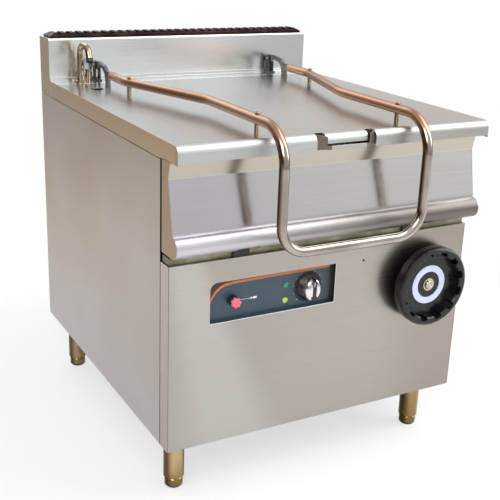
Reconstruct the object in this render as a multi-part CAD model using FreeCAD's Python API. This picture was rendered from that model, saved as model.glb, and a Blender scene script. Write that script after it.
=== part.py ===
"""Tilting bratt pan: one STEP file for each separate piece, in millimetres.

+X is to the right, +Y to the rear and +Z up. While modelling, Y is measured from the front
panel's face. On export every piece moves so that the footprint's centre is the origin.
"""
import FreeCAD
import Part
import math
import os

V = FreeCAD.Vector

# Overall sizes
WIDTH = 800.0
FLOOR_GAP = 143.0
REAR_Y = 877.0
LID_TOP = 850.0
SPLASH_HEIGHT = 112.0
SPLASH_FRONT = 796.0
SIDE_FRONT = 42.0
SIDE_TOP = 806.0
SHEET = 1.5
SHEET_GAP = 0.5
RETURN_WIDTH = 18.0

# Front panel and its openings
FRONT_TOP = 585.0
FRONT_FLANGE = 6.5
CONTROL_LEFT = -301.0
CONTROL_RIGHT = 22.5
CONTROL_LOW = 438.0
CONTROL_HIGH = 533.0
CONTROL_DEPTH = 12.0
CONTROL_CORNER = 18.0
PANEL_SCREW = (99.5, 530.0)

# Controls
THERMOSTAT = (-45.0, 483.0)
THERMOSTAT_R = 32.0
THERMOSTAT_DEPTH = 30.0
SWITCH = (-241.0, 482.0)
SWITCH_DEPTH = 22.0
SPINDLE_R = 3.0
SPINDLE_FIT = 0.05
LAMP_X = -105.0
LAMP_HEIGHTS = {"lamp_green": 496.0, "lamp_yellow": 459.0}
LAMP_R = 6.8

# Legs
LEG_INSET = 53.0
LEG_FRONT_Y = 82.0
LEG_REAR_Y = 788.0
LEG_R = 24.7
LEG_WALL = 1.5
FOOT_R = 21.8
FOOT_HEIGHT = 27.0
STUD_R = 8.0

# Tilting axis and the pan's front
AXIS_Y = -17.0
AXIS_Z = 633.0
BULLNOSE_R = 24.0
TILT_PIN_R = 8.0
PIN_FIT = 0.05
BUSH_WALL = 3.0
LUG_INSET = 173.0
LUG_WIDTH = 40.0
LUG_HUB_R = 17.0
LUG_FOOT = 3.3
LUG_SADDLE = 12.0
LUG_STEP = 4.0
LUG_NOTCH_WIDTH = 52.0
BRACKET_WALL = 6.0
BRACKET_SIDE_GAP = 5.0
BRACKET_HUB_R = 15.0
BRACKET_RISE = 110.0
BRACKET_BROW_Y = 30.0
BRACKET_BROW_RISE = 100.0
BRACKET_BACK = 4.0
BAND_TOP_Y = -4.0
BAND_TOP_Z = 808.0
BAND_LOW_Y = 5.2
BAND_LOW_Z = 772.0
END_PLATE_REAR = 36.0

# Pan tub
TUB_INSET = 58.0
TUB_FRONT = 70.0
TUB_REAR = 690.0
TUB_LOW = 602.0
TUB_BASE = 10.0
TUB_WALL = 2.0
TUB_CORNER_R = 40.0
TUB_FLOOR_R = 14.0
DECK_LOW = 808.3
DECK_SHEET = 2.0
DECK_GAP = 2.5
DECK_REAR = 792.0
STRIP_FRONT = 730.0
STRIP_REAR = 794.0
STRIP_LIP = 8.0

# Spout
SPOUT_ROOT_HALF = 74.0
SPOUT_LIP_HALF = 45.0
SPOUT_ROOT_Y = -38.0
SPOUT_LIP_Y = -52.0
SPOUT_LIP_LOW = 818.0
SPOUT_LIP_TOP = 826.5
SPOUT_CHEEK_TOP = 848.0
SPOUT_CHEEK_R = 12.0
SPOUT_BACK_TOP = 832.0

# Lid
LID_REAR = 728.0
NOSE_Y = -42.8
NOSE_LOW = 815.0
NOSE_R = 17.0
LID_SKIRT_LOW = 808.0
LID_FRONT_SKIRT_LOW = 811.0
LID_SLOT_IN = 54.0
LID_SLOT_OUT = 76.5
LID_SLOT_REAR = -18.0
LID_MIDDLE_LOW = 829.5
LINER_FRONT = 78.0
LINER_LOW = 814.0
FILL_HOLE_INSET = 80.0
FILL_HOLE_Y = 638.0
FILL_HOLE_R = 16.0

# Lid handle tube
TUBE_R = 11.25
TUBE_WALL = 1.5
TUBE_Z = 878.0
TUBE_REAR_INSET = 127.0
TUBE_REAR_Y = 660.0
TUBE_BEND_Y = 560.0
TUBE_TAPER = 89.0
TUBE_BEND2_Y = 262.0
TUBE_BEND_R = 110.0
TUBE_FRONT_Y = -90.0
TUBE_DROP_R = 80.0
TUBE_LOW_Z = 611.0
TUBE_LOOP_R = 65.0
STANDOFF_R = 6.0
STANDOFF_REAR_Y = 545.0
STANDOFF_FRONT_Y = 30.0
PLUG_LENGTH = 18.0

# Lid hinges
HINGE_Y = 778.0
HINGE_Z = 892.0
HINGE_PIN_R = 4.0
ARM_THICK = 8.0
ARM_HUB_R = 11.0
POST_HUB_R = 9.0
POST_WALL = 3.0
POST_GAP = 1.0
ARM_TOP = 903.5
ARM_FOOT_FRONT = 97.0
ARM_FOOT_REAR = 78.0

# Water tap
TAP_INSET = 75.0
TAP_Y = 760.0
TAP_RISER_R = 8.5
TAP_WALL = 1.2
TAP_HEIGHT = 88.0
TAP_REACH = 78.0
TAP_SLANT = 24.0
TAP_BODY_TOP = 868.0
TAP_BODY_R = 12.0
TAP_BLOCK_X = 20.0

# Handwheel and worm shaft
WHEEL_INSET = 121.0
WHEEL_Z = 451.0
WHEEL_R = 100.0
WHEEL_FRONT = -50.0
WHEEL_BACK = -18.0
WHEEL_RIM = 12.0
WHEEL_NOTCHES = 12
NOTCH_DEPTH = 9.0
NOTCH_SHARE = 0.5
WHEEL_FACE = -27.0
WHEEL_DISC = 7.0
WHEEL_HUB_R = 30.0
WHEEL_HUB_BACK = -7.0
RING_R_IN = 33.0
RING_R_OUT = 49.0
RING_THICK = 1.5
SHAFT_R = 9.0
BOLT_R = 12.0

# Toothed quadrant and pinion
MODULE = 4.0
QUADRANT_TEETH = 156
PINION_TEETH = 14
PINION_ANGLE = -20.5
QUADRANT_LOW_ANGLE = -83.0
QUADRANT_HIGH_ANGLE = -14.0
QUADRANT_GAP = 10.0
QUADRANT_THICK = 12.0
QUADRANT_BORE_R = 130.0
QUADRANT_FRONT_Y = 20.0
QUADRANT_TOP_Z = 655.0
WINDOW_COUNT = 3
WINDOW_RINGS = (185.0, 245.0)
WINDOW_R = 26.0
BOSS_OFFSETS = (62.0, 190.0)
BOSS_R = 14.0
TOOTH_PLAY = 0.35
PINION_ADDENDUM = 1.0
QUADRANT_ADDENDUM = 0.7
PRESSURE_ANGLE = 20.0
PINION_SHAFT_R = 12.0
GEARBOX_INSET = 43.0
GEARBOX_WIDTH = 86.0
GEARBOX_FOOT_LOW = 38.0
GEARBOX_FOOT_TOP = 22.0
GEARBOX_FOOT_HALF = 42.0
GEARBOX_FOOT_FLANGE = 22.0
RUN_GAP = 0.3

# Heating
ELEMENT_R = 4.0
ELEMENT_COUNT = 3
ELEMENT_LEGS = 4
ELEMENT_PITCH = 48.0
COVER_LOW = 584.0
COVER_INSET = 12.0
COVER_MARGIN = 20.0

# Flue grille
GRILLE_INSET = 8.0
GRILLE_SETBACK = 12.0
GRILLE_DEPTH = 58.0
GRILLE_HEIGHT = 13.0
GRILLE_SLOTS = 30
GRILLE_SLOT_WIDTH = 11.0

# Cabinet frame
POST_SIZE = 25.0
POST_FRONT = 43.8
BEAM_FRONT = 8.0
BEAM_REAR = 41.7
BEAM_LOW = 545.0
BEAM_TOP = 602.0
BEAM_SHEET = 2.5

# Supplies under the tray
TRAY_HEIGHT = 42.0
TERMINAL_HEIGHT = 110.0
TERMINAL_LEFT = 80.0
TERMINAL_RIGHT = 40.0
TERMINAL_FRONT = 20.0
TERMINAL_DEPTH = 75.0
TERMINAL_RIM = 3.0
GLAND_INSET = 150.0
GLAND_Y = 745.0
GLAND_BORE_R = 8.0
INLET_INSET = 75.0
INLET_Y = 700.0
INLET_R = 10.48
INLET_BORE_R = 7.5
INLET_NECK_R = 9.6
INLET_THREAD = 22.0

# Worked out from the sizes above
HALF = WIDTH / 2
INNER_HALF = HALF - SHEET
SPLASH_TOP = LID_TOP + SPLASH_HEIGHT
LEG_X = HALF - LEG_INSET
LUG_X = HALF - LUG_INSET
TUB_HALF = HALF - TUB_INSET
DECK_HALF = INNER_HALF - DECK_GAP
TUBE_REAR_X = HALF - TUBE_REAR_INSET
TUBE_FRONT_X = TUBE_REAR_X - TUBE_TAPER
HINGE_X = TUBE_REAR_X
TAP_X = -HALF + TAP_INSET
FILL_HOLE = (-HALF + FILL_HOLE_INSET, FILL_HOLE_Y)
WHEEL_X = HALF - WHEEL_INSET
QUADRANT_X = TUB_HALF + QUADRANT_GAP
GEARBOX_X = WHEEL_X - GEARBOX_INSET
COVER_HALF = TUB_HALF - COVER_INSET
COVER_FRONT = TUB_FRONT + COVER_MARGIN
COVER_REAR = TUB_REAR - COVER_MARGIN
GRILLE_HALF = HALF - GRILLE_INSET
GRILLE_FRONT = SPLASH_FRONT + GRILLE_SETBACK
GRILLE_REAR = GRILLE_FRONT + GRILLE_DEPTH
GLAND_X = -HALF + GLAND_INSET
INLET_X = -HALF + INLET_INSET
SHIFT_Y = -(REAR_Y + TUBE_FRONT_Y - TUBE_R) / 2
QUADRANT_PITCH_R = MODULE * QUADRANT_TEETH / 2
PINION_PITCH_R = MODULE * PINION_TEETH / 2
MESH_DISTANCE = QUADRANT_PITCH_R + PINION_PITCH_R
PINION_Y = AXIS_Y + MESH_DISTANCE * math.cos(math.radians(PINION_ANGLE))
PINION_Z = AXIS_Z + MESH_DISTANCE * math.sin(math.radians(PINION_ANGLE))
SHAFT_END_Y = PINION_Y + 38.0
PANEL_BACK = SHEET + SHEET_GAP
TAP_TOP_Z = LID_TOP + TAP_HEIGHT


def block(x0, x1, y0, y1, z0, z1):
    """A box between two corners."""
    return Part.makeBox(x1 - x0, y1 - y0, z1 - z0, V(x0, y0, z0))


def rod_x(radius, x0, x1, y, z):
    return Part.makeCylinder(radius, x1 - x0, V(x0, y, z), V(1, 0, 0))


def rod_y(radius, y0, y1, x, z):
    return Part.makeCylinder(radius, y1 - y0, V(x, y0, z), V(0, 1, 0))


def rod_z(radius, z0, z1, x, y):
    return Part.makeCylinder(radius, z1 - z0, V(x, y, z0), V(0, 0, 1))


def rounded_wire(corners):
    """A closed wire through corners (point, radius), each corner rounded by its radius."""
    starts = []
    ends = []
    mids = []
    count = len(corners)
    for index in range(count):
        point, radius = corners[index]
        before = (corners[index - 1][0] - point).normalize()
        after = (corners[(index + 1) % count][0] - point).normalize()
        if radius <= 0:
            starts.append(point)
            ends.append(point)
            mids.append(None)
            continue
        half = before.getAngle(after) / 2
        reach = radius / math.tan(half)
        middle = (before + after).normalize()
        centre = point + middle * (radius / math.sin(half))
        starts.append(point + before * reach)
        ends.append(point + after * reach)
        mids.append(centre - middle * radius)
    edges = []
    for index in range(count):
        if mids[index] is not None:
            edges.append(Part.Arc(starts[index], mids[index], ends[index]).toShape())
        following = starts[(index + 1) % count]
        if (following - ends[index]).Length > 1e-6:
            edges.append(Part.LineSegment(ends[index], following).toShape())
    return Part.Wire(edges)


def prism_x(corners, x0, x1):
    """Extrude corners (y, z, radius) along X."""
    wire = rounded_wire([(V(x0, y, z), r) for y, z, r in corners])
    return Part.Face(wire).extrude(V(x1 - x0, 0, 0))


def prism_y(corners, y0, y1):
    """Extrude corners (x, z, radius) along Y."""
    wire = rounded_wire([(V(x, y0, z), r) for x, z, r in corners])
    return Part.Face(wire).extrude(V(0, y1 - y0, 0))


def prism_z(corners, z0, z1):
    """Extrude corners (x, y, radius) along Z."""
    wire = rounded_wire([(V(x, y, z0), r) for x, y, r in corners])
    return Part.Face(wire).extrude(V(0, 0, z1 - z0))


def rectangle(a0, a1, b0, b1, radius=0.0):
    return [(a0, b0, radius), (a1, b0, radius), (a1, b1, radius), (a0, b1, radius)]


def turned(profile, x, z):
    """Revolve a profile of (radius, y) about the line through x, z along Y."""
    points = [V(x + r, y, z) for r, y in profile]
    face = Part.Face(Part.makePolygon(points + [points[0]]))
    return face.revolve(V(x, 0, z), V(0, 1, 0), 360)


def turned_z(profile, x, y):
    """Revolve a profile of (radius, z) about the upright line through x, y."""
    points = [V(x + r, y, z) for r, z in profile]
    face = Part.Face(Part.makePolygon(points + [points[0]]))
    return face.revolve(V(x, y, 0), V(0, 0, 1), 360)


def bent_path(points):
    """Straight runs joined by tangent arcs: points are (point, bend radius)."""
    edges = []
    last = points[0][0]
    for index in range(1, len(points) - 1):
        point, radius = points[index]
        before = (points[index - 1][0] - point).normalize()
        after = (points[index + 1][0] - point).normalize()
        half = before.getAngle(after) / 2
        reach = radius / math.tan(half)
        middle = (before + after).normalize()
        centre = point + middle * (radius / math.sin(half))
        start = point + before * reach
        edges.append(Part.LineSegment(last, start).toShape())
        last = point + after * reach
        edges.append(Part.Arc(start, centre - middle * radius, last).toShape())
    edges.append(Part.LineSegment(last, points[-1][0]).toShape())
    return Part.Wire(edges)


def swept(path_points, radius):
    """A round bar along a bent path."""
    start = path_points[0][0]
    heading = path_points[1][0] - start
    ring = Part.Wire(Part.makeCircle(radius, start, heading))
    return bent_path(path_points).makePipeShell([ring], True, False)


def mirrored(shape):
    return shape.mirror(V(0, 0, 0), V(1, 0, 0))


def base_tray():
    outer = block(-INNER_HALF + SHEET_GAP, INNER_HALF - SHEET_GAP, PANEL_BACK, REAR_Y - 4,
                  FLOOR_GAP + SHEET, FLOOR_GAP + TRAY_HEIGHT)
    inner = block(-INNER_HALF + SHEET_GAP + SHEET, INNER_HALF - SHEET_GAP - SHEET,
                  PANEL_BACK + SHEET, REAR_Y - 4 - SHEET, FLOOR_GAP + 2 * SHEET, FLOOR_GAP + TRAY_HEIGHT + 1)
    tray = outer.cut(inner)
    tray = tray.cut(rod_z(GLAND_BORE_R + 4.3, FLOOR_GAP, FLOOR_GAP + 5, GLAND_X, GLAND_Y))
    return tray.cut(rod_z(INLET_R + RUN_GAP, FLOOR_GAP, FLOOR_GAP + 5, INLET_X, INLET_Y))


def right_side_panel():
    inner = INNER_HALF
    low = FLOOR_GAP
    skin = block(inner, HALF, SIDE_FRONT, REAR_Y, low, SIDE_TOP)
    front = block(inner - RETURN_WIDTH, inner, SIDE_FRONT, SIDE_FRONT + SHEET, low + 45, SIDE_TOP)
    rear = block(inner - RETURN_WIDTH, inner, REAR_Y - SHEET, REAR_Y, low + 45, SIDE_TOP)
    top = block(inner - RETURN_WIDTH, inner, SIDE_FRONT, REAR_Y, SIDE_TOP - SHEET, SIDE_TOP)
    return skin.fuse([front, rear, top]).removeSplitter()


def rear_panel():
    y1 = REAR_Y - SHEET - SHEET_GAP
    half = INNER_HALF - SHEET_GAP
    panel = block(-half, half, y1 - SHEET, y1, FLOOR_GAP + 45, SIDE_TOP - 2 * SHEET)
    slot_width = 90.0
    for row in range(4):
        for column in (-1, 0, 1):
            x = column * 2 * slot_width
            z = FLOOR_GAP + 110 + row * 16
            corners = rectangle(x - slot_width / 2, x + slot_width / 2, z, z + 5, 2.4)
            panel = panel.cut(prism_y(corners, y1 - 3 * SHEET, y1 + SHEET))
    return panel


def control_opening(grow):
    """Outline of the control recess, grown by a clearance."""
    return [
        (CONTROL_LEFT - grow, CONTROL_LOW - grow, 5.0),
        (CONTROL_RIGHT + grow, CONTROL_LOW - grow, 3.0),
        (CONTROL_RIGHT + grow, CONTROL_HIGH + grow, 3.0),
        (CONTROL_LEFT - grow, CONTROL_HIGH + grow, CONTROL_CORNER),
    ]


def front_panel():
    outer = block(-HALF, HALF, 0, SIDE_FRONT - 1, FLOOR_GAP, FRONT_TOP)
    inner = block(-INNER_HALF, INNER_HALF, SHEET, SIDE_FRONT, FLOOR_GAP + SHEET, FRONT_TOP + 1)
    top = block(-INNER_HALF, INNER_HALF, SHEET, FRONT_FLANGE, FRONT_TOP - SHEET, FRONT_TOP)
    panel = outer.cut(inner).fuse(top).removeSplitter()
    panel = panel.cut(prism_y(control_opening(0), -1, SHEET + 1))
    panel = panel.cut(rod_y(SHAFT_R + 6, -1, SHEET + 1, WHEEL_X, WHEEL_Z))
    return panel.cut(rod_y(3.0, -1, SHEET + 1, PANEL_SCREW[0], PANEL_SCREW[1]))


def control_plate():
    """Dark tray behind the opening: a rim, the recess walls and the plate with its holes."""
    walls = prism_y(control_opening(SHEET), PANEL_BACK, CONTROL_DEPTH + SHEET)
    hollow = prism_y(control_opening(0), PANEL_BACK - 1, CONTROL_DEPTH)
    rim = prism_y(control_opening(10), PANEL_BACK, PANEL_BACK + SHEET)
    plate = walls.fuse(rim).cut(hollow).removeSplitter()
    for x, z in (THERMOSTAT, SWITCH):
        plate = plate.cut(rod_y(SPINDLE_R + 1, 0, CONTROL_DEPTH + 5, x, z))
    for z in LAMP_HEIGHTS.values():
        plate = plate.cut(rod_y(LAMP_R - 2, 0, CONTROL_DEPTH + 5, LAMP_X, z))
    return plate


def lamp(z):
    front = CONTROL_DEPTH
    profile = [(0, front - 4), (3.5, front - 3.4), (LAMP_R, front - 2), (LAMP_R, front - 0.05),
               (LAMP_R - 2.3, front - 0.05), (LAMP_R - 2.3, front + 14), (0, front + 14)]
    return turned(profile, LAMP_X, z)


def thermostat_knob():
    x, z = THERMOSTAT
    back = CONTROL_DEPTH - 0.6
    front = CONTROL_DEPTH - THERMOSTAT_DEPTH
    r = THERMOSTAT_R
    skirt = turned([(0, front + 12), (r * 0.62, front + 12), (r * 0.72, front + 16),
                    (r - 1, back - 4), (r, back), (0, back)], x, z)
    for index in range(24):
        angle = math.radians(15 * index)
        groove_x = x + (r + 1.2) * math.cos(angle)
        groove_z = z + (r + 1.2) * math.sin(angle)
        skirt = skirt.cut(rod_y(2.4, back - 6, back + 1, groove_x, groove_z))
    grip = prism_y(rectangle(x - 8, x + 8, z - r * 0.7, z + r * 0.7, 6), front, front + 14)
    knob = skirt.fuse(grip).removeSplitter()
    return knob.cut(rod_y(SPINDLE_R + SPINDLE_FIT, front + 6, back + 1, x, z))


def thermostat_body():
    x, z = THERMOSTAT
    start = CONTROL_DEPTH + SHEET
    body = prism_y(rectangle(x - 24, x + 24, z - 21, z + 21, 3), start, start + 34)
    return body.fuse(rod_y(SPINDLE_R, CONTROL_DEPTH - THERMOSTAT_DEPTH + 7, start, x, z))


def switch_knob():
    x, z = SWITCH
    back = CONTROL_DEPTH - 0.6
    front = CONTROL_DEPTH - SWITCH_DEPTH
    stub = turned([(0, front + 6), (11.5, front + 6), (12.5, front + 8), (12.5, back), (0, back)], x, z)
    cap = rod_y(6.0, front, front + 6, x, z)
    for index in range(6):
        angle = math.radians(60 * index)
        lobe_x = x + 5.8 * math.cos(angle)
        lobe_z = z + 5.8 * math.sin(angle)
        cap = cap.fuse(rod_y(3.4, front, front + 6, lobe_x, lobe_z))
    knob = stub.fuse(cap).removeSplitter()
    return knob.cut(rod_y(SPINDLE_R + SPINDLE_FIT, front + 8, back + 1, x, z))


def switch_body():
    x, z = SWITCH
    start = CONTROL_DEPTH + SHEET
    body = prism_y(rectangle(x - 20, x + 20, z - 20, z + 20, 2), start, start + 46)
    return body.fuse(rod_y(SPINDLE_R, CONTROL_DEPTH - SWITCH_DEPTH + 9, start, x, z))


def leg_places():
    return [(x, y) for y in (LEG_FRONT_Y, LEG_REAR_Y) for x in (-LEG_X, LEG_X)]


def leg(x, y):
    """Drawn tube with a mounting flange on top and a threaded plug at its foot."""
    top = FLOOR_GAP + SHEET
    low = FOOT_HEIGHT + 1
    wall = LEG_R - LEG_WALL
    bore = STUD_R + RUN_GAP
    profile = [(LEG_R, low), (LEG_R, top - 2), (LEG_R + 9, top - 2), (LEG_R + 9, top),
               (wall, top), (wall, low + 14), (bore, low + 14), (bore, low)]
    return turned_z(profile, x, y)


def leg_pair(y):
    return Part.makeCompound([leg(-LEG_X, y), leg(LEG_X, y)])


def feet():
    result = []
    for x, y in leg_places():
        profile = [(0, 0), (FOOT_R - 4, 0), (FOOT_R, 5), (FOOT_R, FOOT_HEIGHT - 4),
                   (FOOT_R - 3, FOOT_HEIGHT), (STUD_R, FOOT_HEIGHT), (STUD_R, FOOT_HEIGHT + 45),
                   (0, FOOT_HEIGHT + 45)]
        result.append(turned_z(profile, x, y))
    return Part.makeCompound(result)


def corner_posts():
    """Four open square tubes between the base tray and the beams."""
    result = []
    low = FLOOR_GAP + 2 * SHEET
    outer = INNER_HALF - SHEET_GAP - SHEET
    rear = REAR_Y - 4 - SHEET
    for side in (-1, 1):
        for y0, top in ((POST_FRONT, BEAM_TOP), (rear - POST_SIZE, SIDE_TOP - 2 * SHEET)):
            x0 = min(side * outer, side * (outer - POST_SIZE))
            tube = block(x0, x0 + POST_SIZE, y0, y0 + POST_SIZE, low, top)
            hollow = block(x0 + 2, x0 + POST_SIZE - 2, y0 + 2, y0 + POST_SIZE - 2, low, top)
            result.append(tube.cut(hollow))
    return Part.makeCompound(result)


def front_crossmember():
    outer = [(BEAM_FRONT, BEAM_LOW, 0), (BEAM_REAR, BEAM_LOW, 0),
             (BEAM_REAR, BEAM_TOP, 4), (BEAM_FRONT, BEAM_TOP, 4)]
    inner = [(BEAM_FRONT + BEAM_SHEET, BEAM_LOW - 1, 0), (BEAM_REAR - BEAM_SHEET, BEAM_LOW - 1, 0),
             (BEAM_REAR - BEAM_SHEET, BEAM_TOP - BEAM_SHEET, 1.5),
             (BEAM_FRONT + BEAM_SHEET, BEAM_TOP - BEAM_SHEET, 1.5)]
    half = INNER_HALF - SHEET_GAP - SHEET
    inside = half - BEAM_SHEET
    return prism_x(outer, -half, half).cut(prism_x(inner, -inside, inside))


def pivot_lug():
    """Right lug: a hub round the tilting axis, a foot on the crossmember and an apron before it."""
    x0 = LUG_X - LUG_WIDTH / 2
    x1 = LUG_X + LUG_WIDTH / 2
    r = LUG_HUB_R
    arm = prism_x([(AXIS_Y + 3, AXIS_Z - r + 0.3, 0), (BEAM_FRONT + LUG_STEP, BEAM_TOP, 0),
                   (BEAM_REAR - 1, BEAM_TOP, 0), (BEAM_REAR - 1, AXIS_Z + 6, 6),
                   (AXIS_Y, AXIS_Z + r, 0)], x0, x1)
    arm = arm.fuse(rod_x(r, x0, x1, AXIS_Y, AXIS_Z))
    apron = block(x0, x1, PANEL_BACK, BEAM_FRONT - RUN_GAP, FRONT_TOP + RUN_GAP, BEAM_TOP + LUG_FOOT)
    bridge = block(x0, x1, PANEL_BACK, BEAM_FRONT + LUG_SADDLE, BEAM_TOP, BEAM_TOP + LUG_FOOT)
    arm = arm.fuse([apron, bridge]).removeSplitter()
    bore = rod_x(TILT_PIN_R + PIN_FIT + BUSH_WALL + PIN_FIT, x0 - 1, x1 + 1, AXIS_Y, AXIS_Z)
    return arm.cut(bore)


def pivot_bushes():
    result = []
    for side in (-1, 1):
        x0 = side * LUG_X - LUG_WIDTH / 2
        x1 = side * LUG_X + LUG_WIDTH / 2
        ring = rod_x(TILT_PIN_R + PIN_FIT + BUSH_WALL, x0, x1, AXIS_Y, AXIS_Z)
        result.append(ring.cut(rod_x(TILT_PIN_R + PIN_FIT, x0 - 1, x1 + 1, AXIS_Y, AXIS_Z)))
    return Part.makeCompound(result)


def tilt_bracket():
    """Right bracket of the pan: two cheeks with pin bores and a back plate on the tub."""
    inner_gap = LUG_WIDTH / 2 + BRACKET_SIDE_GAP
    outer = inner_gap + BRACKET_WALL
    r = BRACKET_HUB_R
    corners = [(AXIS_Y - r, AXIS_Z - r, r - 0.01), (TUB_FRONT, AXIS_Z - r - 2, 0),
               (TUB_FRONT, AXIS_Z + BRACKET_RISE, 0), (BRACKET_BROW_Y, AXIS_Z + BRACKET_BROW_RISE, 10),
               (AXIS_Y + r + 7, AXIS_Z + r + 4, 6), (AXIS_Y - r, AXIS_Z + r, r - 0.01)]
    body = prism_x(corners, LUG_X - outer, LUG_X + outer)
    gap = block(LUG_X - inner_gap, LUG_X + inner_gap, AXIS_Y - 2 * r, TUB_FRONT - BRACKET_BACK,
                AXIS_Z - 2 * r, AXIS_Z + BRACKET_RISE + 2 * r)
    bore = rod_x(TILT_PIN_R + PIN_FIT, LUG_X - outer - 1, LUG_X + outer + 1, AXIS_Y, AXIS_Z)
    return body.cut(gap).cut(bore)


def tilt_pins():
    result = []
    reach = LUG_WIDTH / 2 + BRACKET_SIDE_GAP + BRACKET_WALL + 4
    for side in (-1, 1):
        x = side * LUG_X
        result.append(rod_x(TILT_PIN_R, x - reach, x + reach, AXIS_Y, AXIS_Z))
    return Part.makeCompound(result)


def pan_tub():
    tub = block(-TUB_HALF, TUB_HALF, TUB_FRONT, TUB_REAR, TUB_LOW, DECK_LOW + DECK_SHEET)
    upright = [e for e in tub.Edges if abs(e.tangentAt(e.FirstParameter).z) > 0.9]
    tub = tub.makeFillet(TUB_CORNER_R, upright)
    hollow = block(-TUB_HALF + TUB_WALL, TUB_HALF - TUB_WALL, TUB_FRONT + TUB_WALL,
                   TUB_REAR - TUB_WALL, TUB_LOW + TUB_BASE, DECK_LOW + 40)
    upright = [e for e in hollow.Edges if abs(e.tangentAt(e.FirstParameter).z) > 0.9]
    hollow = hollow.makeFillet(TUB_CORNER_R - TUB_WALL, upright)
    low = [e for e in hollow.Edges if e.BoundBox.ZMax < TUB_LOW + TUB_BASE + 0.1]
    hollow = hollow.makeFillet(TUB_FLOOR_R, low)
    deck = block(-DECK_HALF, DECK_HALF, BAND_TOP_Y + 0.3, DECK_REAR, DECK_LOW,
                 DECK_LOW + DECK_SHEET)
    return tub.fuse(deck).cut(hollow).removeSplitter()


def front_outline(inset):
    """Closed outline of the pan's front, moved in by the sheet's thickness where asked."""
    r = BULLNOSE_R - inset
    side = r - 0.01
    return [
        (BAND_TOP_Y + inset, BAND_TOP_Z, 0),
        (BAND_LOW_Y + inset, BAND_LOW_Z, 0),
        (AXIS_Y + inset, AXIS_Z + r, 0),
        (AXIS_Y - r, AXIS_Z + r, side),
        (AXIS_Y - r, AXIS_Z - r, side),
        (END_PLATE_REAR - 3, AXIS_Z - r, 0),
        (END_PLATE_REAR - 3, BAND_TOP_Z, 0),
    ]


def pan_front_skin():
    """Bent sheet: the band under the lid, the sloping face and the bullnose round the axis."""
    outer = prism_x(front_outline(0), -INNER_HALF, INNER_HALF)
    inner = prism_x(front_outline(SHEET), -HALF, HALF)
    back = block(-HALF, HALF, END_PLATE_REAR - 4 - SHEET, END_PLATE_REAR, AXIS_Z - BULLNOSE_R + SHEET,
                 BAND_TOP_Z + 1)
    skin = outer.cut(inner).cut(back)
    for side in (-1, 1):
        x0 = side * LUG_X - LUG_NOTCH_WIDTH / 2
        notch = block(x0, x0 + LUG_NOTCH_WIDTH, AXIS_Y - LUG_HUB_R - 0.5, END_PLATE_REAR + 1,
                      AXIS_Z - BULLNOSE_R - 1, AXIS_Z - LUG_HUB_R)
        skin = skin.cut(notch)
    return skin


def pan_end_plate():
    """Right end plate of the pan's front, cut round so that it clears the side panel."""
    r = BULLNOSE_R
    corners = [(BAND_TOP_Y, BAND_TOP_Z + 1.5, 0), (BAND_LOW_Y, BAND_LOW_Z, 0),
               (AXIS_Y, AXIS_Z + r, 0), (AXIS_Y - r, AXIS_Z + r, r - 0.01),
               (AXIS_Y - r, AXIS_Z - r, r - 0.01), (END_PLATE_REAR, AXIS_Z - r, 4),
               (END_PLATE_REAR, BAND_TOP_Z + 1.5, 0)]
    return prism_x(corners, INNER_HALF, HALF)


def pan_rear_strip():
    """Raised deck behind the lid, with a lip along its rear edge."""
    outer = block(-HALF, HALF, STRIP_FRONT, STRIP_REAR, LID_SKIRT_LOW, LID_TOP)
    inner = block(-INNER_HALF, INNER_HALF, STRIP_FRONT + SHEET, STRIP_REAR - SHEET,
                  LID_SKIRT_LOW - 1, LID_TOP - SHEET)
    lip = block(-HALF, HALF, STRIP_REAR - SHEET, STRIP_REAR, LID_TOP, LID_TOP + STRIP_LIP)
    under = block(-INNER_HALF, INNER_HALF, STRIP_FRONT - 1, STRIP_FRONT + 3, LID_SKIRT_LOW - 1,
                  DECK_LOW + DECK_SHEET)
    strip = outer.fuse(lip).cut(inner).cut(under).removeSplitter()
    return strip.cut(rod_z(TAP_RISER_R - 2, LID_TOP - 3, LID_TOP + 1, TAP_X, TAP_Y))


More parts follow.
